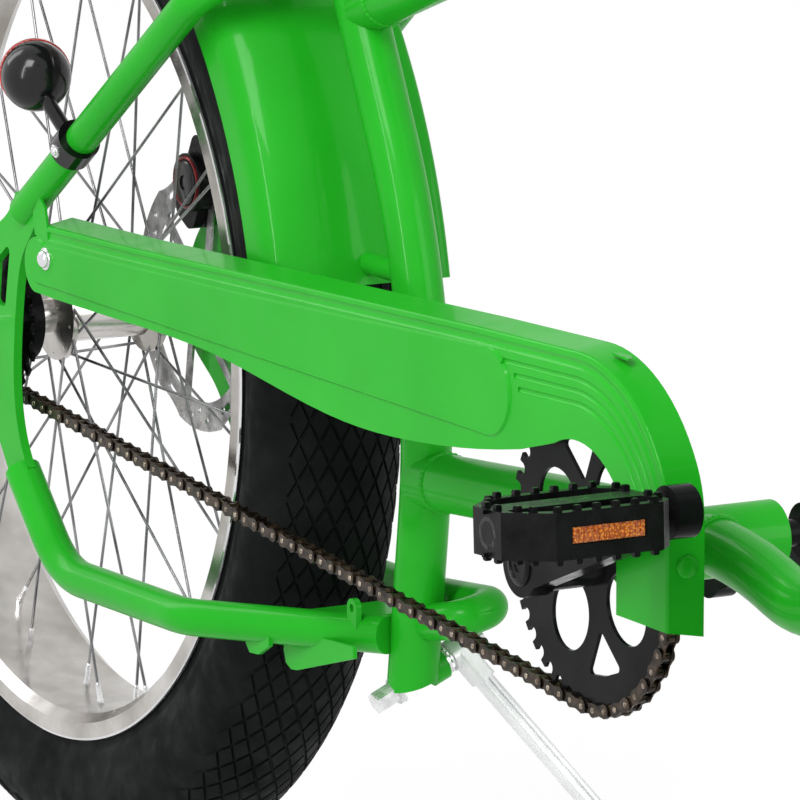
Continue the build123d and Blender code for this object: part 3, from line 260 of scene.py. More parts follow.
def make_finishes():
    """One finish for each material slot of the record, and the few that only small pieces have."""
    made = {}

    paint = Finish("green_enamel", (0.02, 0.42, 0.02), roughness=0.28, specular=0.08, coat=0.14)
    paint.tint(paint.noise(7, 3), GREEN_DEEP, GREEN)
    paint.rough(paint.noise(30, 3), 0.30, 0.40)
    paint.relief(paint.noise(420, 2), 0.00012, 0.35)
    made["frame_paint"] = paint

    rubber = Finish("tyre_rubber", (0.012, 0.012, 0.013), roughness=0.7, specular=0.06)
    rubber.tint(rubber.noise(18, 5), (0.0035, 0.004, 0.0042), (0.009, 0.0098, 0.010))
    rubber.rough(rubber.noise(60, 3), 0.55, 0.8)
    rubber.relief(rubber.noise(900, 3), 0.0002, 0.5)
    rubber.relief(rubber.noise(90, 4), 0.0008, 0.3)
    made["tyre_rubber"] = rubber

    alloy = Finish("rim_alloy", (0.62, 0.62, 0.63), metallic=0.9, roughness=0.24)
    alloy.tint(alloy.noise(14, 4), (0.30, 0.28, 0.25), (0.60, 0.58, 0.56))
    alloy.rough(alloy.noise(45, 4), 0.14, 0.28)
    alloy.relief(alloy.noise(260, 2), 0.0001, 0.25)
    made["rim_alloy"] = alloy

    spoke = Finish("spoke_steel", (0.42, 0.42, 0.43), metallic=1.0, roughness=0.25)
    spoke.tint(spoke.noise(25, 3), (0.10, 0.10, 0.105), (0.36, 0.36, 0.37))
    spoke.rough(spoke.noise(50, 2), 0.18, 0.34)
    made["spoke_steel"] = spoke

    disc = Finish("rotor_steel", (0.42, 0.42, 0.42), metallic=0.8, roughness=0.3)
    disc.tint(disc.noise(70, 4), (0.15, 0.15, 0.15), (0.44, 0.44, 0.44))
    disc.rough(disc.noise(300, 3), 0.24, 0.42)
    disc.relief(disc.noise(900, 3, (1, 1, 0.05)), 0.0001, 0.4)
    made["rotor_steel"] = disc

    black = Finish("black_enamel", (0.006, 0.006, 0.007), roughness=0.2, specular=0.05)
    black.tint(black.noise(22, 4), (0.004, 0.004, 0.0045), (0.011, 0.011, 0.012))
    black.rough(black.noise(90, 3), 0.14, 0.26)
    black.relief(black.noise(500, 2), 0.0001, 0.3)
    made["black_steel"] = black

    chain = Finish("chain_steel", (0.05, 0.035, 0.022), metallic=0.85, roughness=0.3)
    chain.tint(chain.noise(160, 4), (0.008, 0.005, 0.003), (0.060, 0.040, 0.025))
    chain.rough(chain.noise(300, 3), 0.2, 0.45)
    chain.relief(chain.noise(1200, 3), 0.0002, 0.5)
    made["chain_steel"] = chain

    rivet = Finish("rivet_steel", (0.5, 0.42, 0.32), metallic=1.0, roughness=0.3)
    rivet.tint(rivet.noise(300, 3), (0.15, 0.11, 0.08), (0.45, 0.38, 0.30))
    rivet.rough(rivet.noise(200, 2), 0.2, 0.4)
    made["rivet_steel"] = rivet

    chrome = Finish("chrome", (0.78, 0.78, 0.79), metallic=0.9, roughness=0.09)
    chrome.tint(chrome.noise(12, 3), (0.68, 0.68, 0.70), (0.82, 0.82, 0.83))
    chrome.rough(chrome.noise(60, 3), 0.05, 0.14)
    made["bar_chrome"] = chrome

    grip = Finish("grip_rubber", (0.015, 0.015, 0.016), roughness=0.7, specular=0.3)
    grip.tint(grip.noise(60, 4), (0.009, 0.009, 0.0095), (0.02, 0.02, 0.021))
    grip.rough(grip.noise(120, 3), 0.6, 0.82)
    grip.relief(grip.cells(900), 0.0003, 0.5)
    made["grip_rubber"] = grip

    plastic = Finish("black_plastic", (0.008, 0.008, 0.009), roughness=0.3, specular=0.1)
    plastic.tint(plastic.noise(60, 4), (0.003, 0.003, 0.0033), (0.008, 0.008, 0.0088))
    plastic.rough(plastic.noise(140, 3), 0.22, 0.38)
    plastic.relief(plastic.noise(1100, 3), 0.00025, 0.45)
    made["black_plastic"] = plastic

    gloss = Finish("gloss_black", (0.004, 0.004, 0.005), roughness=0.12, specular=0.3, coat=0.1)
    gloss.tint(gloss.noise(20, 3), (0.003, 0.003, 0.0035), (0.008, 0.008, 0.009))
    gloss.rough(gloss.noise(120, 2), 0.1, 0.2)
    made["reflector_red"] = gloss

    lens = Finish("red_lens", (0.42, 0.01, 0.008), roughness=0.12, coat=0.6)
    lens.tint(lens.cells(420), (0.30, 0.004, 0.003), (0.62, 0.02, 0.014), 0.1, 0.6)
    lens.relief(lens.cells(420), 0.0009, 0.8)
    made["red_lens"] = lens

    amber = Finish("amber_lens", (0.8, 0.2, 0.01), roughness=0.14, coat=0.6)
    amber.tint(amber.cells(620), (0.95, 0.30, 0.015), (0.42, 0.07, 0.002), 0.15, 0.6)
    amber.relief(amber.cells(620), 0.0008, 0.8)
    made["amber_lens"] = amber

    cover = Finish("saddle_cover", (0.014, 0.014, 0.014), roughness=0.5, specular=0.35)
    cover.tint(cover.noise(16, 4), (0.009, 0.009, 0.009), (0.02, 0.02, 0.02))
    cover.rough(cover.noise(50, 3), 0.42, 0.6)
    cover.relief(cover.cells(480, "DISTANCE_TO_EDGE"), 0.0006, 0.45)
    made["saddle_cover"] = cover

    satin = Finish("stand_alloy", (0.86, 0.86, 0.87), metallic=0.35, roughness=0.36)
    satin.tint(satin.noise(22, 4), (0.78, 0.78, 0.79), (0.92, 0.92, 0.93))
    satin.rough(satin.noise(60, 3), 0.3, 0.46)
    satin.relief(satin.noise(420, 3), 0.0002, 0.35)
    made["stand_alloy"] = satin

    zinc = Finish("zinc_steel", (0.62, 0.62, 0.63), metallic=0.75, roughness=0.22)
    zinc.tint(zinc.noise(90, 4), (0.62, 0.62, 0.63), (0.90, 0.90, 0.91))
    zinc.rough(zinc.noise(160, 3), 0.14, 0.32)
    made["zinc_steel"] = zinc

    warm = Finish("red_anodised", (0.4, 0.01, 0.01), metallic=0.6, roughness=0.25)
    warm.tint(warm.noise(80, 3), (0.10, 0.004, 0.004), (0.20, 0.008, 0.008))
    made["red_anodised"] = warm
    return {slot: finish.material for slot, finish in made.items()}


GREEN = (0.018, 0.415, 0.018)
GREEN_DEEP = (0.013, 0.365, 0.013)
FINISH = make_finishes()
SLOTS = {part["node"]: part["material_slot"] for part in frame["record"]["subparts"]}


def dress(node, finish):
    """Gives a CAD node its finish."""
    node.data.materials.clear()
    node.data.materials.append(finish)


for name, node in frame["nodes"].items():
    dress(node, FINISH[SLOTS[name]])
for name in ("rear_axle", "front_axle", "stand_bolt"):
    dress(frame["nodes"][name], FINISH["zinc_steel"])


# ---------------------------------------------------------------- shapes


class Shape:
    """The vertices and faces of one piece, in upright millimetres."""

    def __init__(self):
        self.points = []
        self.faces = []

    def add(self, points, faces, at=Matrix()):
        first = len(self.points)
        self.points += [at @ Vector(point) for point in points]
        self.faces += [tuple(first + index for index in face) for face in faces]

    def lathe(self, profile, at, sides=32):
        """Turns (radius, height) points about the local Z axis; the two ends are closed by flat caps."""
        points = [
            (radius * cos(2 * pi * n / sides), radius * sin(2 * pi * n / sides), height)
            for radius, height in profile
            for n in range(sides)
        ]
        faces = grid(len(profile), sides, closed=False, outward=False)
        last = (len(profile) - 1) * sides
        faces.append(tuple(range(sides - 1, -1, -1)))
        faces.append(tuple(last + n for n in range(sides)))
        self.add(points, faces, at)

    def ring(self, radius, thickness, at, sides=48, around=10):
        """A ring of round section about the local Z axis."""
        points = [
            (
                (radius + thickness * cos(2 * pi * m / around)) * cos(2 * pi * n / sides),
                (radius + thickness * cos(2 * pi * m / around)) * sin(2 * pi * n / sides),
                thickness * sin(2 * pi * m / around),
            )
            for n in range(sides)
            for m in range(around)
        ]
        self.add(points, grid(sides, around), at)

    def slab(self, outline, low, high, at=Matrix()):
        """Raises a flat outline in local X and Y from one height to another."""
        count = len(outline)
        points = [(x, y, low) for x, y in outline] + [(x, y, high) for x, y in outline]
        faces = [tuple(range(count - 1, -1, -1)), tuple(range(count, 2 * count))]
        faces += [(n, (n + 1) % count, count + (n + 1) % count, count + n) for n in range(count)]
        self.add(points, faces, at)

    def tube(self, path, radius, around=10):
        """A round tube along a list of points."""
        rows = []
        for n, point in enumerate(path):
            along = (path[min(n + 1, len(path) - 1)] - path[max(n - 1, 0)]).normalized()
            turn = facing(point, along)
            rows.append([turn @ Vector((radius * cos(a), radius * sin(a), 0)) for a in circle(around)])
        points = [point for row in rows for point in row]
        faces = grid(len(rows), around, closed=False, outward=False)
        last = (len(rows) - 1) * around
        faces += [tuple(range(around - 1, -1, -1)), tuple(last + m for m in range(around))]
        self.add(points, faces)

    def make(self, name, finish, body, crease=35.0, matrix=MM):
        """Builds the piece, smooth except at edges sharper than the crease, and lets it ride on a body."""
        mesh = bpy.data.meshes.new(name)
        mesh.from_pydata([tuple(point) for point in self.points], [], self.faces)
        mesh.transform(matrix)
        mesh.validate()
        mesh.polygons.foreach_set("use_smooth", [True] * len(mesh.polygons))
        mesh.set_sharp_from_angle(angle=radians(crease))
        mesh.materials.append(FINISH[finish])
        made = bpy.data.objects.new(name, mesh)
        bpy.context.scene.collection.objects.link(made)
        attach(made, body)
        return made


def grid(rows, columns, closed=True, outward=True):
    """Four-sided faces between neighbouring rows of points, where each row is a closed loop."""
    faces = []
    for row in range(rows if closed else rows - 1):
        here, there = row * columns, (row + 1) % rows * columns
        for m in range(columns):
            beside = (m + 1) % columns
            if outward:
                faces.append((here + m, there + m, there + beside, here + beside))
            else:
                faces.append((here + m, here + beside, there + beside, there + m))
    return faces


def circle(sides, start=0.0):
    return [start + 2 * pi * n / sides for n in range(sides)]


def polygon(radius, sides, start=0.0):
    """Corners of a regular outline."""
    return [(radius * cos(a), radius * sin(a)) for a in circle(sides, start)]


def facing(point, along, ahead=None):
    """A local frame at a point with its Z along a direction, and its X as near ahead as it can be."""
    z = Vector(along).normalized()
    x = Vector(ahead) if ahead else (Vector((0, 0, 1)) if abs(z.z) < 0.9 else Vector((1, 0, 0)))
    x = (x - z * x.dot(z)).normalized()
    turn = Matrix((x, z.cross(x), z)).transposed().to_4x4()
    return Matrix.Translation(Vector(point)) @ turn


def dome(radius, height, flat=0.0):
    """A button head's profile for lathe()."""
    steps = 6
    return [(radius, flat)] + [
        (max(radius * cos(pi / 2 * n / steps), 0.01), flat + height * sin(pi / 2 * n / steps))
        for n in range(1, steps + 1)
    ]


def lay_bolt(shape, point, out, radius=5.0, height=4.0, washer=1.5):
    """A washer with a domed head on it."""
    at = facing(point, out)
    edge = radius * washer
    shape.lathe([(edge, -0.3), (edge, 0.9), (edge - 0.3, 1.2), (0.01, 1.2)], at, 24)
    shape.lathe([(radius, 1.0), *dome(radius, height - 1.0, 1.6)], at, 24)


# ---------------------------------------------------------------- wheels

WHEEL_X = {"rear": 0.0, "front": joint_point("front_wheel_spin").x}
TYRE_RADIUS = 373.0
TYRE_SECTION = 50.0
TYRE_CENTRE = TYRE_RADIUS - TYRE_SECTION
CARCASS = TYRE_SECTION - 1.6     # radius of the section under the tread blocks
BEAD_ANGLE = radians(127)        # from the crown to where the sidewall meets the bead
CARCASS_STEPS = 240              # sections round a tyre
BEAD_HALF_WIDTH = 38.6
BEAD_THICKNESS = 6.0
BEAD_FOOT = 279.5                # radius of the bead's foot, inside the rim's hooked edge
TREAD_PITCHES = 84
TREAD_ROWS = 15
TREAD_STEP = radians(7.6)        # between rows of blocks
TREAD_FILL = 0.80                # how much of its diamond a block covers


def on_tyre(turn, across, radius):
    """A point of a tyre: its angle round the wheel, its angle from the crown, and the section's radius."""
    out = TYRE_CENTRE + radius * cos(across)
    return Vector((out * cos(turn), radius * sin(across), out * sin(turn)))


def bead_relief(across):
    """The raised band beside the rim, with a groove over it."""
    band = 1.4 if across > 2.0 else 0.0
    groove = 0.9 if abs(across - 1.93) < 0.06 else 0.0
    return band - groove


def tyre_carcass(shape, centre):
    """A smooth closed tyre body with a raised line at each bead."""
    across = [BEAD_ANGLE * (n / 20 - 1) for n in range(41)]
    outside = [(a, CARCASS + bead_relief(abs(a))) for a in across]
    inside = [(a, CARCASS - 5.0) for a in reversed(across)]
    turns = circle(CARCASS_STEPS)
    points = []
    for turn in turns:
        spoke = Vector((cos(turn), 0, sin(turn)))
        left = spoke * BEAD_FOOT + Vector((0, BEAD_HALF_WIDTH, 0)) + centre
        right = spoke * BEAD_FOOT - Vector((0, BEAD_HALF_WIDTH, 0)) + centre
        thick = Vector((0, BEAD_THICKNESS, 0))
        points += [on_tyre(turn, a, radius) + centre for a, radius in outside]
        points += [left, left - thick]
        points += [on_tyre(turn, a, radius) + centre for a, radius in inside]
        points += [right + thick, right]
    count = len(outside) + len(inside) + 4
    shape.add(points, grid(CARCASS_STEPS, count, outward=False))


def tread_block(shape, centre, turn, across, half_turn, half_across):
    """One diamond block with sloping sides and a slightly crowned top."""
    base = CARCASS - 0.4
    corners = [(half_turn, 0), (0, half_across), (-half_turn, 0), (0, -half_across)]
    low = [on_tyre(turn + t * 1.12, across + a * 1.12, base) + centre for t, a in corners]
    high = [on_tyre(turn + t, across + a, TYRE_SECTION - 0.05) + centre for t, a in corners]
    top = on_tyre(turn, across, TYRE_SECTION) + centre
    faces = [(n, (n + 1) % 4, 4 + (n + 1) % 4, 4 + n) for n in range(4)]
    faces += [(4 + n, 4 + (n + 1) % 4, 8) for n in range(4)]
    shape.add(low + high + [top], faces)


def make_tyre(which, body):
    centre = Vector((WHEEL_X[which], 0, 0))
    shape = Shape()
    tyre_carcass(shape, centre)
    half_turn = pi / TREAD_PITCHES
    for row in range(TREAD_ROWS):
        across = (row - (TREAD_ROWS - 1) / 2) * TREAD_STEP
        for n in range(TREAD_PITCHES):
            turn = 2 * half_turn * (n + 0.5 * (row % 2))
            tread_block(shape, centre, turn, across, half_turn * TREAD_FILL, TREAD_STEP * TREAD_FILL)
    made = shape.make(f"{which}_tyre_tread", "tyre_rubber", body, crease=25)
    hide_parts(f"{which}_tyre")


SPOKES_A_SIDE = 18
SPOKE_LEAD = radians(62)
FLANGE_HOLES = 26.0
RIM_BED = 271.0
RIM_FLANGE = 288.0
RIM_HALF_WIDTH = 42.4
FLANGES = {"rear": (36.0, -32.0), "front": (36.0, -36.0)}


VALVE_PROFILE = [(4.2, 0), (4.2, 3), (3.2, 5), (2.6, 18), (2.6, 24), (3.9, 24.5), (3.9, 33), (2.8, 35)]
VALVE_TURN = radians(213)


def make_spoke_ends(which, body):
    """A nipple at the rim and a head at the hub for every spoke, and the tyre's valve."""
    x = WHEEL_X[which]
    nipples = Shape()
    for flange, start in zip(FLANGES[which], (0.0, 0.5)):
        for n in range(SPOKES_A_SIDE):
            lead = SPOKE_LEAD if n % 2 == 0 else -SPOKE_LEAD
            side = 1.8 if n % 2 == 0 else -1.8
            hole = 2 * pi * (n + start) / SPOKES_A_SIDE
            head = Vector((x + FLANGE_HOLES * cos(hole), flange + side, FLANGE_HOLES * sin(hole)))
            foot = Vector((x + RIM_BED * cos(hole + lead), 0.18 * flange, RIM_BED * sin(hole + lead)))
            run = (head - foot).normalized()
            at = facing(foot + run * 1.0, run)
            nipples.lathe([(2.6, -2), (2.6, 1), (2.0, 2.5), (2.0, 11), (1.4, 13), (0.9, 13.5)], at, 8)
            nipples.lathe(dome(2.1, 1.2), facing(head, (0, math.copysign(1, side), 0)), 8)
    nipples.make(f"{which}_spoke_nipples", "zinc_steel", body)
    valve = Shape()
    inward = Vector((-cos(VALVE_TURN), 0, -sin(VALVE_TURN)))
    foot = Vector((x, 0, 0)) - inward * (RIM_BED + 1)
    valve.lathe(VALVE_PROFILE, facing(foot, inward), 14)
    valve.make(f"{which}_valve", "black_plastic", body)


def make_rim_edges(which, body):
    """The rolled edge of each rim flange."""
    shape = Shape()
    for side in (-1, 1):
        y = side * (RIM_HALF_WIDTH - 1.4)
        at = facing((WHEEL_X[which], y, 0), (0, 1, 0))
        shape.ring(RIM_FLANGE - 0.5, 1.5, at, sides=180, around=8)
    shape.make(f"{which}_rim_edges", "bar_chrome", body)


for which in ("rear", "front"):
    make_tyre(which, f"{which}_wheel")
    make_spoke_ends(which, f"{which}_wheel")
    make_rim_edges(which, f"{which}_wheel")


# ---------------------------------------------------------------- chain

BRACKET = joint_point("crank_spin")
PITCH = 12.7
CHAIN_LINE = 70.0
CHAIN_LINKS = 156
RING_RADIUS = PITCH / 2 / sin(pi / 44)
COG_RADIUS = PITCH / 2 / sin(pi / 22)


def chain_path(count):
    """Evenly spaced pin centres (X, Z) round the drive, from the top of the cog forward."""
    across = math.hypot(BRACKET.x, BRACKET.z)
    slope = math.atan2(BRACKET.z, BRACKET.x)
    spread = math.asin((RING_RADIUS - COG_RADIUS) / across)
    run = across * cos(spread)
    upper, lower = slope + pi / 2 + spread, slope - pi / 2 - spread
    stretches = [run, RING_RADIUS * (upper - lower), run, COG_RADIUS * (2 * pi - upper + lower)]
    step = sum(stretches) / count
    cog = Vector((0, 0))
    ring = Vector((BRACKET.x, BRACKET.z))
    pins = []
    for n in range(count):
        gone = n * step
        if gone < stretches[0]:
            start = cog + COG_RADIUS * Vector((cos(upper), sin(upper)))
            end = ring + RING_RADIUS * Vector((cos(upper), sin(upper)))
            pins.append(start.lerp(end, gone / run))
            continue
        gone -= stretches[0]
        if gone < stretches[1]:
            angle = upper - gone / RING_RADIUS
            pins.append(ring + RING_RADIUS * Vector((cos(angle), sin(angle))))
            continue
        gone -= stretches[1]
        if gone < stretches[2]:
            start = ring + RING_RADIUS * Vector((cos(lower), sin(lower)))
            end = cog + COG_RADIUS * Vector((cos(lower), sin(lower)))
            pins.append(start.lerp(end, gone / run))
            continue
        angle = lower - (gone - stretches[2]) / COG_RADIUS
        pins.append(cog + COG_RADIUS * Vector((cos(angle), sin(angle))))
    return pins


def link_outline(length):
    """A figure-of-eight side plate, from one pin to the next."""
    half = length / 2
    big, waist = 4.35, 3.0
    right = [(half + big * cos(a), big * sin(a)) for a in [radians(d) for d in range(-120, 121, 30)]]
    left = [(-half - big * cos(a), -big * sin(a)) for a in [radians(d) for d in range(-120, 121, 30)]]
    return right + [(0, waist)] + left + [(0, -waist)]


def make_chain():
    plates = Shape()
    pins = Shape()
    spots = chain_path(CHAIN_LINKS)
    for n, start in enumerate(spots):
        end = spots[(n + 1) % CHAIN_LINKS]
        middle = (start + end) / 2
        ahead = end - start
        at = facing((middle.x, -CHAIN_LINE, middle.y), (0, -1, 0), (ahead.x, 0, ahead.y))
        inner, outer = (2.2, 3.3) if n % 2 else (3.4, 4.5)
        for side in (-1, 1):
            low, high = sorted((side * inner, side * outer))
            plates.slab(link_outline(ahead.length), low, high, at)
        pin = facing((start.x, -CHAIN_LINE, start.y), (0, -1, 0))
        pins.lathe([(0.6, -5.0), (1.7, -4.7), (1.9, -4.4), (1.9, 4.4), (1.7, 4.7), (0.6, 5.0)], pin, 10)
        plates.lathe([(3.8, -2.1), (3.8, 2.1)], pin, 12)
    made = plates.make("chain_links", "chain_steel", "frame", crease=30)
    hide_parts("chain")
    pins.make("chain_pins", "rivet_steel", "frame")


make_chain()


# ---------------------------------------------------------------- cranks and pedals

CRANK_OUTER = 119.0
DUST_CAP = [(12.5, -1), (12.5, 0.8), (11.5, 1.6), (9.0, 1.8), (8.4, 1.0), (4.6, 1.0), (4.4, 0.4), (0.01, 0.4)]


def make_crank_caps():
    """The dust cap over the crank bolt on each arm."""
    for side, name in ((-1, "crank_cap_right"), (1, "crank_cap_left")):
        cap = Shape()
        at = facing((BRACKET.x, side * CRANK_OUTER, BRACKET.z), (0, side, 0))
        cap.lathe(DUST_CAP, at, 32)
        cap.make(name, "black_plastic", "crank")


make_crank_caps()

PEDAL_HALF_LENGTH = 36.0
PEDAL_HALF_HEIGHT = 13.0
PEDAL_INNER = 134.0
PEDAL_OUTER = 231.0
PEDAL_REFLECTOR_LINE = 176.0
PEDAL_TILT = radians(3)
PEDAL_CAP = [(9.5, -3.5), (9.5, -0.4), (9.0, 0), (6.6, 0), (6.4, -0.8), (3.4, -0.8), (3.2, -0.1), (0.01, -0.1)]


def make_pedal_details(side, body):
    """Studs and ribs on both treads, an amber reflector in each long side, and the end cap."""
    centre = joint_point(f"{body}_spin")
    level = Matrix.Translation((centre.x, 0, centre.z)) @ Matrix.Rotation(-PEDAL_TILT, 4, "Y")
    studs = Shape()
    length = PEDAL_HALF_LENGTH
    rail = 3.2
    spots = [(end * (length - rail), line) for end in (-1, 1) for line in (146, 158, 170, 182, 194, 206)]
    spots += [(end * (24 - n * 8), 216 + n * 5) for end in (-1, 1) for n in range(2)]
    spots += [(end * x, PEDAL_INNER + rail) for end in (-1, 1) for x in (12, 22)]
    spots += [(end * 6, PEDAL_OUTER - rail) for end in (-1, 1)]
    for x, line in spots:
        for up in (-1, 1):
            at = level @ facing((x, side * line, up * (PEDAL_HALF_HEIGHT - 0.2)), (0, 0, up))
            studs.slab(polygon(2.6, 4, pi / 4), 0, 2.6, at)
            studs.slab(polygon(2.1, 4, pi / 4), 2.6, 3.2, at)
    for line in range(144, 226, 13):
        for up in (-1, 1):
            at = level @ facing((0, side * line, up * 10.6), (0, 0, up))
            studs.slab([(-1.2, -12), (1.2, -12), (1.2, 12), (-1.2, 12)], 0, 2.2, at)
    studs.make(f"{body}_studs", "black_plastic", body)
    lenses = Shape()
    for end in (-1, 1):
        at = level @ facing((end * (length - 1.5), side * PEDAL_REFLECTOR_LINE, 0), (end, 0, 0), (0, 1, 0))
        lenses.slab([(-22.4, -4.4), (22.4, -4.4), (22.4, 4.4), (-22.4, 4.4)], 0, 0.9, at)
        for n in range(14):
            x = -20.8 + 3.2 * n
            lenses.slab([(x - 1.2, -3.8), (x + 1.2, -3.8), (x + 1.2, 3.8), (x - 1.2, 3.8)], 0.9, 1.4, at)
    lenses.make(f"{body}_reflectors", "amber_lens", body)
    cap = Shape()
    at = level @ facing((0, side * PEDAL_OUTER, 0), (0, side, 0))
    cap.lathe(PEDAL_CAP, at, 24)
    cap.make(f"{body}_end_cap", "gloss_black", body)


FINISH["gloss_black"] = FINISH["reflector_red"]

for side, body in ((-1, "pedal_right"), (1, "pedal_left")):
    make_pedal_details(side, body)


# ---------------------------------------------------------------- guard, frame fittings

GUARD_FACE = 92.0
GUARD_PANEL = 1.4


def make_guard_fittings():
    """The chrome bolt at the guard's rear, the rivet on its front flange and the pressed mark on its top."""
    bolt = Shape()
    lay_bolt(bolt, (112, -GUARD_FACE - GUARD_PANEL, 59), (0, -1, 0), 6.0, 5.0, 1.25)
    bolt.make("guard_bolt", "bar_chrome", "frame")
    rivet = Shape()
    rivet.lathe([(6.6, -0.5), *dome(6.6, 2.0, 0.4)], facing((897.6, -80, -1), (1, 0, 0)), 28)
    rivet.make("guard_rivet", "frame_paint", "frame")
    mark = Shape()
    half = [(8.5 * cos(radians(a)), 6.0 * sin(radians(a))) for a in range(0, 181, 15)]
    mark.slab(half, -0.6, 0.7, facing((827, -82, 106.0), (0.05, 0, 1), (1, 0, 0)))
    mark.make("guard_pressing", "frame_paint", "frame", crease=20)


def make_stay_gussets():
    """Two small plates that hang under the right chain stay ahead of the tyre."""
    plates = Shape()
    long_plate = [(356, -146), (354, -160), (357, -168), (364, -171), (372, -170), (446, -148), (446, -140)]
    plates.slab([(x, z) for x, z in long_plate], 43, 46, facing((0, 0, 0), (0, -1, 0), (1, 0, 0)))
    short_plate = [(336, -150), (335, -158), (340, -163), (352, -162), (366, -154), (366, -146)]
    plates.slab([(x, z) for x, z in short_plate], 60, 63, facing((0, 0, 0), (0, -1, 0), (1, 0, 0)))
    plates.make("stay_gussets", "frame_paint", "frame", crease=30)


WELD = 1.9                       # radius of a weld bead


def weld(shape, point, along, radius, ahead=None, squeeze=1.0):
    """A rippled bead round a tube's end."""
    at = facing(point, along, ahead)
    sides = 96
    around = 8
    points = []
    for n in range(sides):
        a = 2 * pi * n / sides
        bead = WELD * (1 + 0.22 * cos(n * 2.1))
        for m in range(around):
            b = 2 * pi * m / around
            out = radius + bead * cos(b)
            points.append((out * cos(a) * squeeze, out * sin(a), bead * sin(b)))
    shape.add(points, grid(sides, around), at)


def steerer(up, left=0.0, ahead=0.0):
    """A point from the foot of the steering axis, as part of the frame's plan."""
    line = joint_line("steering")
    foot = joint_point("steering") - line * 560
    return foot + line * up + Vector((0, left, 0)) + Vector((line.z, 0, -line.x)) * ahead


def make_welds():
    beads = Shape()
    weld(beads, (BRACKET.x - 22, 0, BRACKET.z + 1), (1, 0, 0.02), 17.4)
    weld(beads, (BRACKET.x + 22, 0, BRACKET.z + 3), (1, 0, 0.02), 16.4)
    weld(beads, (482, 0, -35), (1, 0, 0.08), 17.6)
    weld(beads, (404, 0, 256), (0.948, 0, 0.318), 15.6)
    weld(beads, steerer(615, ahead=-20), Vector((0.96, 0, 0.2)), 15.8)
    weld(beads, steerer(526, ahead=-20), Vector((0.86, 0, 0.5)), 16.8)
    beads.make("frame_welds", "frame_paint", "frame", crease=60)


def make_headset_rings():
    rings = Shape()
    line = joint_line("steering")
    for up in (484.5, 648.5):
        rings.ring(21.6, 1.3, facing(steerer(up), line))
    rings.make("headset_rings", "bar_chrome", "frame")
    seam = Shape()
    for up in (476.5, 656):
        seam.ring(22.4, 0.7, facing(steerer(up), line))
    seam.make("headset_seams", "rivet_steel", "frame")


def make_seat_clamp_bolt():
    shape = Shape()
    run = Vector((-142, 0, 275)).normalized()
    back = Vector((-run.z, 0, run.x))
    middle = Vector((328, 0, 335)) - run * 7 + back * 22
    ears = [(-8, -7), (6, -7), (6, 7), (-8, 7)]
    for line in (3, -9):
        shape.slab(ears, 0, 6, facing(middle + Vector((0, line, 0)), (0, 1, 0), back))
    shape.make("seat_clamp_ears", "black_steel", "frame")
    bolt = Shape()
    bolt.lathe([(2.6, -13), (2.6, 13)], facing(middle, (0, 1, 0)), 12)
    lay_bolt(bolt, middle + Vector((0, -9, 0)), (0, -1, 0), 4.2, 4.0)
    bolt.slab(polygon(4.8, 6), 9, 13.5, facing(middle, (0, 1, 0)))
    bolt.make("seat_clamp_bolt", "zinc_steel", "frame")


make_guard_fittings()
make_stay_gussets()
make_welds()
make_headset_rings()
make_seat_clamp_bolt()


# ---------------------------------------------------------------- reflector, brakes, stand

REFLECTOR_AIM = Vector((0.93, -0.36, -0.05)).normalized()
STAY_UPPER = Vector((66, -86, 84))
STAY_RUN = Vector((305 - 66, 0, 253 - 84)).normalized()


def make_reflector_lens():
    """The red lens at the back of the black bell, with its rim just showing, and the band's screw."""
    bell = STAY_UPPER + STAY_RUN * 85 + Vector((-42, -4, 44))
    lens = Shape()
    profile = [(18, -12.6), (22.6, -12.2), (23.6, -10.5), (23.6, -7.2), (22.4, -6.6)]
    lens.lathe(profile, facing(bell, REFLECTOR_AIM), 48)
    lens.make("rear_lens", "red_lens", "frame")
    screw = Shape()
    lay_bolt(screw, STAY_UPPER + STAY_RUN * 93 + Vector((0, -14, -3)), (0, -1, -0.2), 3.0, 2.6)
    screw.make("reflector_screw", "zinc_steel", "frame")


def make_caliper_details(name, x, z, turn, line, body):
    """A red ring round the cylinder cap on each side, the cap's rim and the two fixing bolts."""
    ring = Shape()
    ring.ring(17.0, 1.3, facing((x, line + 20, z), (0, 1, 0)))
    ring.ring(17.0, 1.3, facing((x, line - 14, z), (0, -1, 0)))
    ring.make(f"{name}_ring", "red_anodised", body)
    cap = Shape()
    for side, face in ((1, line + 20), (-1, line - 14)):
        profile = [(15, -1), (15, 1.2), (13.6, 2.2), (5.2, 2.4), (5.0, 1.2), (0.01, 1.2)]
        cap.lathe(profile, facing((x, face, z), (0, side, 0)), 40)
    cap.make(f"{name}_cap", "gloss_black", body)
    bolts = Shape()
    for way in (-1, 1):
        a = radians(turn)
        lay_bolt(bolts, (x + way * 25 * cos(a), line + 13, z + way * 25 * sin(a)), (0, 1, 0), 4.0, 4.5)
    bolts.make(f"{name}_bolts", "zinc_steel", body)


def make_rotor_bolts(name, x, line, body):
    bolts = Shape()
    for a in circle(6, radians(30)):
        lay_bolt(bolts, (x + 20.5 * cos(a), line + 1, 20.5 * sin(a)), (0, 1, 0), 3.0, 2.6, 1.1)
    bolts.make(name, "zinc_steel", body)


STAND_AXIS = joint_line("kickstand_fold")
STAND_PIVOT = joint_point("kickstand_fold")
STAND_LEG = Vector((0.346, 0.549, -0.760)).normalized()
SOLE = [(5.0, -34), (8.6, -32), (9.3, -12), (9.3, -3), (8.6, 0.5), (6.5, 4.6), (3.5, 7.4), (0.01, 8.6)]


def toothed(radius, teeth, depth):
    """The outline of a serrated washer."""
    reach = [radius - depth * (n % 2) for n in range(2 * teeth)]
    return [(out * cos(a), out * sin(a)) for out, a in zip(reach, circle(2 * teeth))]


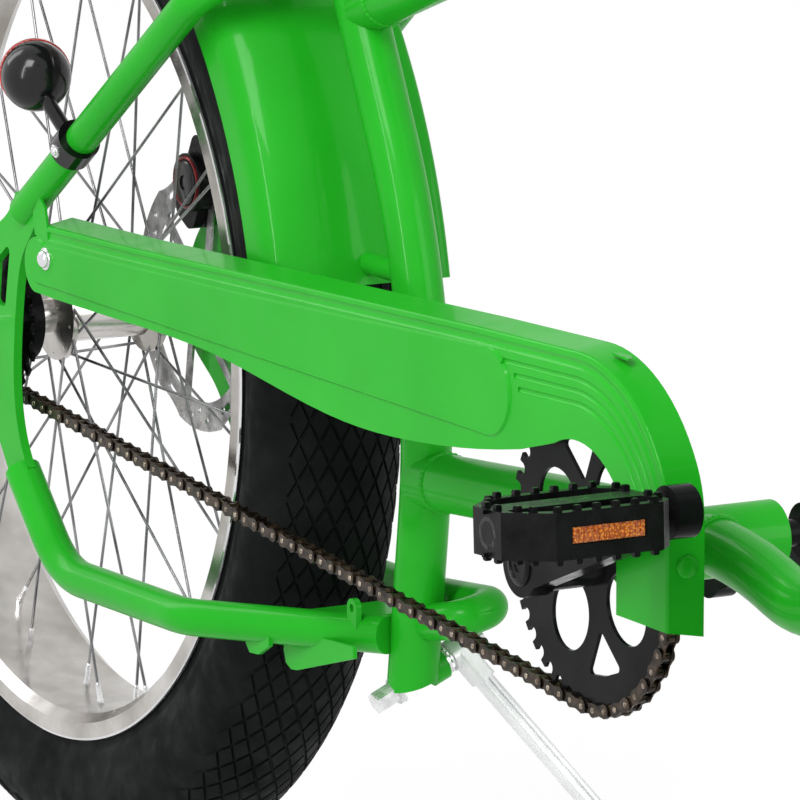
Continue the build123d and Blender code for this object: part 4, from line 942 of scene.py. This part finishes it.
def make_stand_details():
    """Serrated washers on the stand's bolt, and the leg's ribbed rubber foot."""
    washers = Shape()
    foot = STAND_PIVOT - STAND_AXIS * 38
    for along, radius in ((26.9, 9.6), (29.7, 8.8), (45.8, 9.2), (-9.8, 9.4)):
        washers.slab(toothed(radius, 16, 1.3), 0, 1.1, facing(foot + STAND_AXIS * along, STAND_AXIS))
    washers.make("stand_washers", "zinc_steel", "frame")
    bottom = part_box("kickstand")[0]
    tip = next(
        STAND_PIVOT + STAND_LEG * n
        for n in range(100, 500)
        if (MM @ (STAND_PIVOT + STAND_LEG * n)).z < bottom.z + 0.0091
    )
    sole = Shape()
    sole.lathe(SOLE, facing(tip, STAND_LEG), 28)
    for n in range(5):
        sole.ring(9.1, 0.5, facing(tip - STAND_LEG * (8 + 4 * n), STAND_LEG), sides=28, around=6)
    sole.make("stand_foot", "grip_rubber", "kickstand")


make_reflector_lens()
make_caliper_details("rear_caliper", 8, 84, 62, 77, "frame")
make_caliper_details("front_caliper", WHEEL_X["front"] - 84, 56, 60, 58, "fork")
make_rotor_bolts("rear_rotor_bolts", 0, 77, "rear_wheel")
make_rotor_bolts("front_rotor_bolts", WHEEL_X["front"], 58, "front_wheel")
make_stand_details()


# ---------------------------------------------------------------- fenders


def make_fender_details(name, x, crown, eyes, bolts, body):
    """A bolt at each end of the wire stays, and the bolts that hold the fender to its bridge."""
    shape = Shape()
    for side in (-1, 1):
        for eye_x, eye_z, line in eyes:
            lay_bolt(shape, (x + eye_x, side * line, eye_z), (0, side, 0), 3.4, 3.0, 1.3)
    for turn in bolts:
        out = Vector((cos(turn), 0, sin(turn)))
        lay_bolt(shape, Vector((x, 0, 0)) + out * (crown - 3.0), -out, 4.0, 3.2)
    shape.make(name, "zinc_steel", body)


make_fender_details("rear_fender_bolts", 0, 391, [(-22, 18, 94), (-361, -52, 68)], [radians(13)], "frame")
make_fender_details(
    "front_fender_bolts", WHEEL_X["front"], 384, [(-17, 6, 86), (-354, 34, 68)], [radians(112)], "fork"
)


# ---------------------------------------------------------------- bars, grips and levers

BAR_END = Vector((850, 350, 775))
BAR_BEND = Vector((1085, 300, 800))
GRIP_RUN = (BAR_END - BAR_BEND).normalized()


def make_grips():
    """Moulded rings along each grip, a flange at its inner end and a rounded plug at its outer end."""
    shape = Shape()
    for side in (-1, 1):
        run = Vector((GRIP_RUN.x, side * GRIP_RUN.y, GRIP_RUN.z))
        end = Vector((BAR_END.x, side * BAR_END.y, BAR_END.z))
        for n in range(22):
            shape.ring(16.0, 0.9, facing(end - run * (118 - 5.2 * n), run), sides=40, around=8)
        shape.ring(16.5, 2.6, facing(end - run * 127.5, run), sides=40)
        plug = [(16.4, 0), (16.6, 2.5), (15.0, 3.4), (9.0, 4.0), (0.01, 4.2)]
        shape.lathe(plug, facing(end - run * 0.2, run), 40)
    shape.make("grip_ribs", "grip_rubber", "fork")


def make_stem_bolts():
    """The clamp's bolts, and the steerer's top cap with its bolt."""
    clamp = steerer(700, ahead=48)
    bolts = Shape()
    ahead = Vector((joint_line("steering").z, 0, -joint_line("steering").x))
    up = joint_line("steering")
    for side in (-1, 1):
        for way in (-1, 1):
            spot = clamp + Vector((0, side * 15, 0)) + up * way * 13 + ahead * 15
            lay_bolt(bolts, spot, ahead, 3.4, 4.0, 1.2)
    bolts.lathe([(3.2, 0), *dome(3.2, 1.5, 2.0)], facing(steerer(721), up), 20)
    bolts.make("stem_bolts", "zinc_steel", "fork")
    cap = Shape()
    profile = [(20.0, 0), (20.0, 1.2), (18.6, 2.6), (7.0, 3.0), (6.6, 2.2), (0.01, 2.2)]
    cap.lathe(profile, facing(steerer(719.8), up), 40)
    cap.make("steerer_cap", "gloss_black", "fork")


def make_lever_details():
    """A pivot screw, a clamp bolt and a ball end on each brake lever."""
    screws = Shape()
    balls = Shape()
    for side in (-1, 1):
        run = Vector((GRIP_RUN.x, side * GRIP_RUN.y, GRIP_RUN.z))
        spot = Vector((BAR_END.x, side * BAR_END.y, BAR_END.z)) - GRIP_RUN.length * run * 150
        pivot = spot + Vector((24, -side * 4, -24))
        lay_bolt(screws, pivot + Vector((0, 0, 3.5)), (0, 0, 1), 3.6, 3.0)
        lay_bolt(screws, spot + Vector((0, 0, -16.5)), (0, 0, -1), 3.2, 3.4, 1.2)
        tip = pivot + run * 118 + Vector((0, 0, -12))
        ball = [(0.01, -7.4), (4.8, -5.6), (7.4, -1.6), (7.4, 1.6), (4.8, 5.6), (0.01, 7.4)]
        balls.lathe(ball, facing(tip, run), 20)
    screws.make("lever_screws", "zinc_steel", "fork")
    balls.make("lever_tips", "black_plastic", "fork")


make_grips()
make_stem_bolts()
make_lever_details()


# ---------------------------------------------------------------- saddle

SADDLE_X = 268.4                 # the seat post's top
SADDLE_LOW = 496.6
SADDLE_HIGH = 540.4
SADDLE_PLAN = [(145.5, 3), (143, 16), (134, 25), (112, 33), (80, 40)]
SADDLE_PLAN += [(50, 53), (20, 72), (-10, 95), (-40, 112)]
SADDLE_REAR = [(-70, 117.5), (-96, 115), (-113, 100), (-123, 76), (-128, 45), (-129.5, 12)]


def saddle_row(x, half, share):
    """One closed section: a crowned top with a channel, rounded sides and a hollowed underside."""
    row = []
    high = SADDLE_HIGH - SADDLE_LOW
    dip = 5.0 * math.exp(-(((x - 10) / 90) ** 2))
    nose = 1 - 0.35 * max(0.0, (x - 40) / 105) ** 2
    tail = 1 - 0.16 * max(0.0, (-x - 60) / 70) ** 2
    for a in circle(48):
        across = math.copysign(abs(cos(a)) ** 0.72, cos(a))
        rise = math.copysign(abs(sin(a)) ** 0.62, sin(a))
        y = half * across
        if rise >= 0:
            z = 14 + (high - 14) * rise * nose * tail * (0.72 + 0.28 * share)
            z -= dip * math.exp(-((y / 17) ** 2)) * rise
        else:
            z = 14 + 14 * rise * (1 - 0.45 * (1 - abs(across)))
            y *= 1 - 0.10 * -rise
        row.append(Vector((SADDLE_X + x, y, SADDLE_LOW + z)))
    return row


def make_saddle():
    """A padded cover in one crowned form, with piping round its lower edge and stitched seams."""
    outline = SADDLE_PLAN + SADDLE_REAR
    rows = []
    for n in range(len(outline) - 1):
        for step in range(3):
            t = step / 3
            x = outline[n][0] * (1 - t) + outline[n + 1][0] * t
            half = outline[n][1] * (1 - t) + outline[n + 1][1] * t
            rows.append(saddle_row(x, half, min(1.0, half / 40)))
    rows.append(saddle_row(*outline[-1], 0.5))
    count = len(rows[0])
    shape = Shape()
    points = [point for row in rows for point in row]
    faces = grid(len(rows), count, closed=False, outward=False)
    faces += [tuple(range(count - 1, -1, -1)), tuple((len(rows) - 1) * count + m for m in range(count))]
    shape.add(points, faces)
    cushion = shape.make("saddle_cushion", "saddle_cover", "frame", crease=80)
    smooth = cushion.modifiers.new("smooth", "SUBSURF")
    smooth.levels = 1
    smooth.render_levels = 1
    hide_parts("saddle")
    piping = Shape()
    right = [row[0] for row in rows]
    left = [row[24] for row in rows]
    loop = right + left[::-1]
    piping.tube([p + Vector((0, math.copysign(0.2, p.y), -1.0)) for p in loop + loop[:1]], 2.0, 8)
    piping.make("saddle_piping", "grip_rubber", "frame", crease=60)
    stitches = Shape()
    for side in (-1, 1):
        seam = [row[4 if side > 0 else 20] for row in rows[6:-4]]
        for a, b in zip(seam, seam[1:]):
            for t in (0.0, 0.5):
                start, end = a.lerp(b, t), a.lerp(b, t + 0.34)
                path = [start + Vector((0, 0, 0.1)), end + Vector((0, 0, 0.1))]
                if (end - start).length <= 0.5:
                    path = [start, start + Vector((0.6, 0, 0))]
                stitches.tube(path, 0.55, 6)
    stitches.make("saddle_stitches", "black_plastic", "frame", crease=60)


def make_saddle_springs():
    """The two coil springs over the CAD's spring cores, and the clamp's bolt."""
    coils = Shape()
    for side in (-1, 1):
        centre = Vector((SADDLE_X - 92, side * 62, 450.5))
        path = [
            centre + Vector((18.2 * cos(a), 18.2 * sin(a), 4 + 38 * n / 119))
            for n, a in enumerate([2 * pi * 5 * n / 119 for n in range(120)])
        ]
        coils.tube(path, 2.2, 8)
    coils.make("saddle_springs", "bar_chrome", "frame", crease=60)
    bolt = Shape()
    for side in (-1, 1):
        at = facing((SADDLE_X, side * 24, 458.5), (0, side, 0))
        bolt.lathe([(10.5, 0), (10.5, 2.0), (9.6, 2.6), (0.01, 2.6)], at, 24)
        bolt.slab(polygon(6.6, 6), 2.6, 8.2, at)
    bolt.make("saddle_clamp_nuts", "zinc_steel", "frame")


make_saddle()
make_saddle_springs()
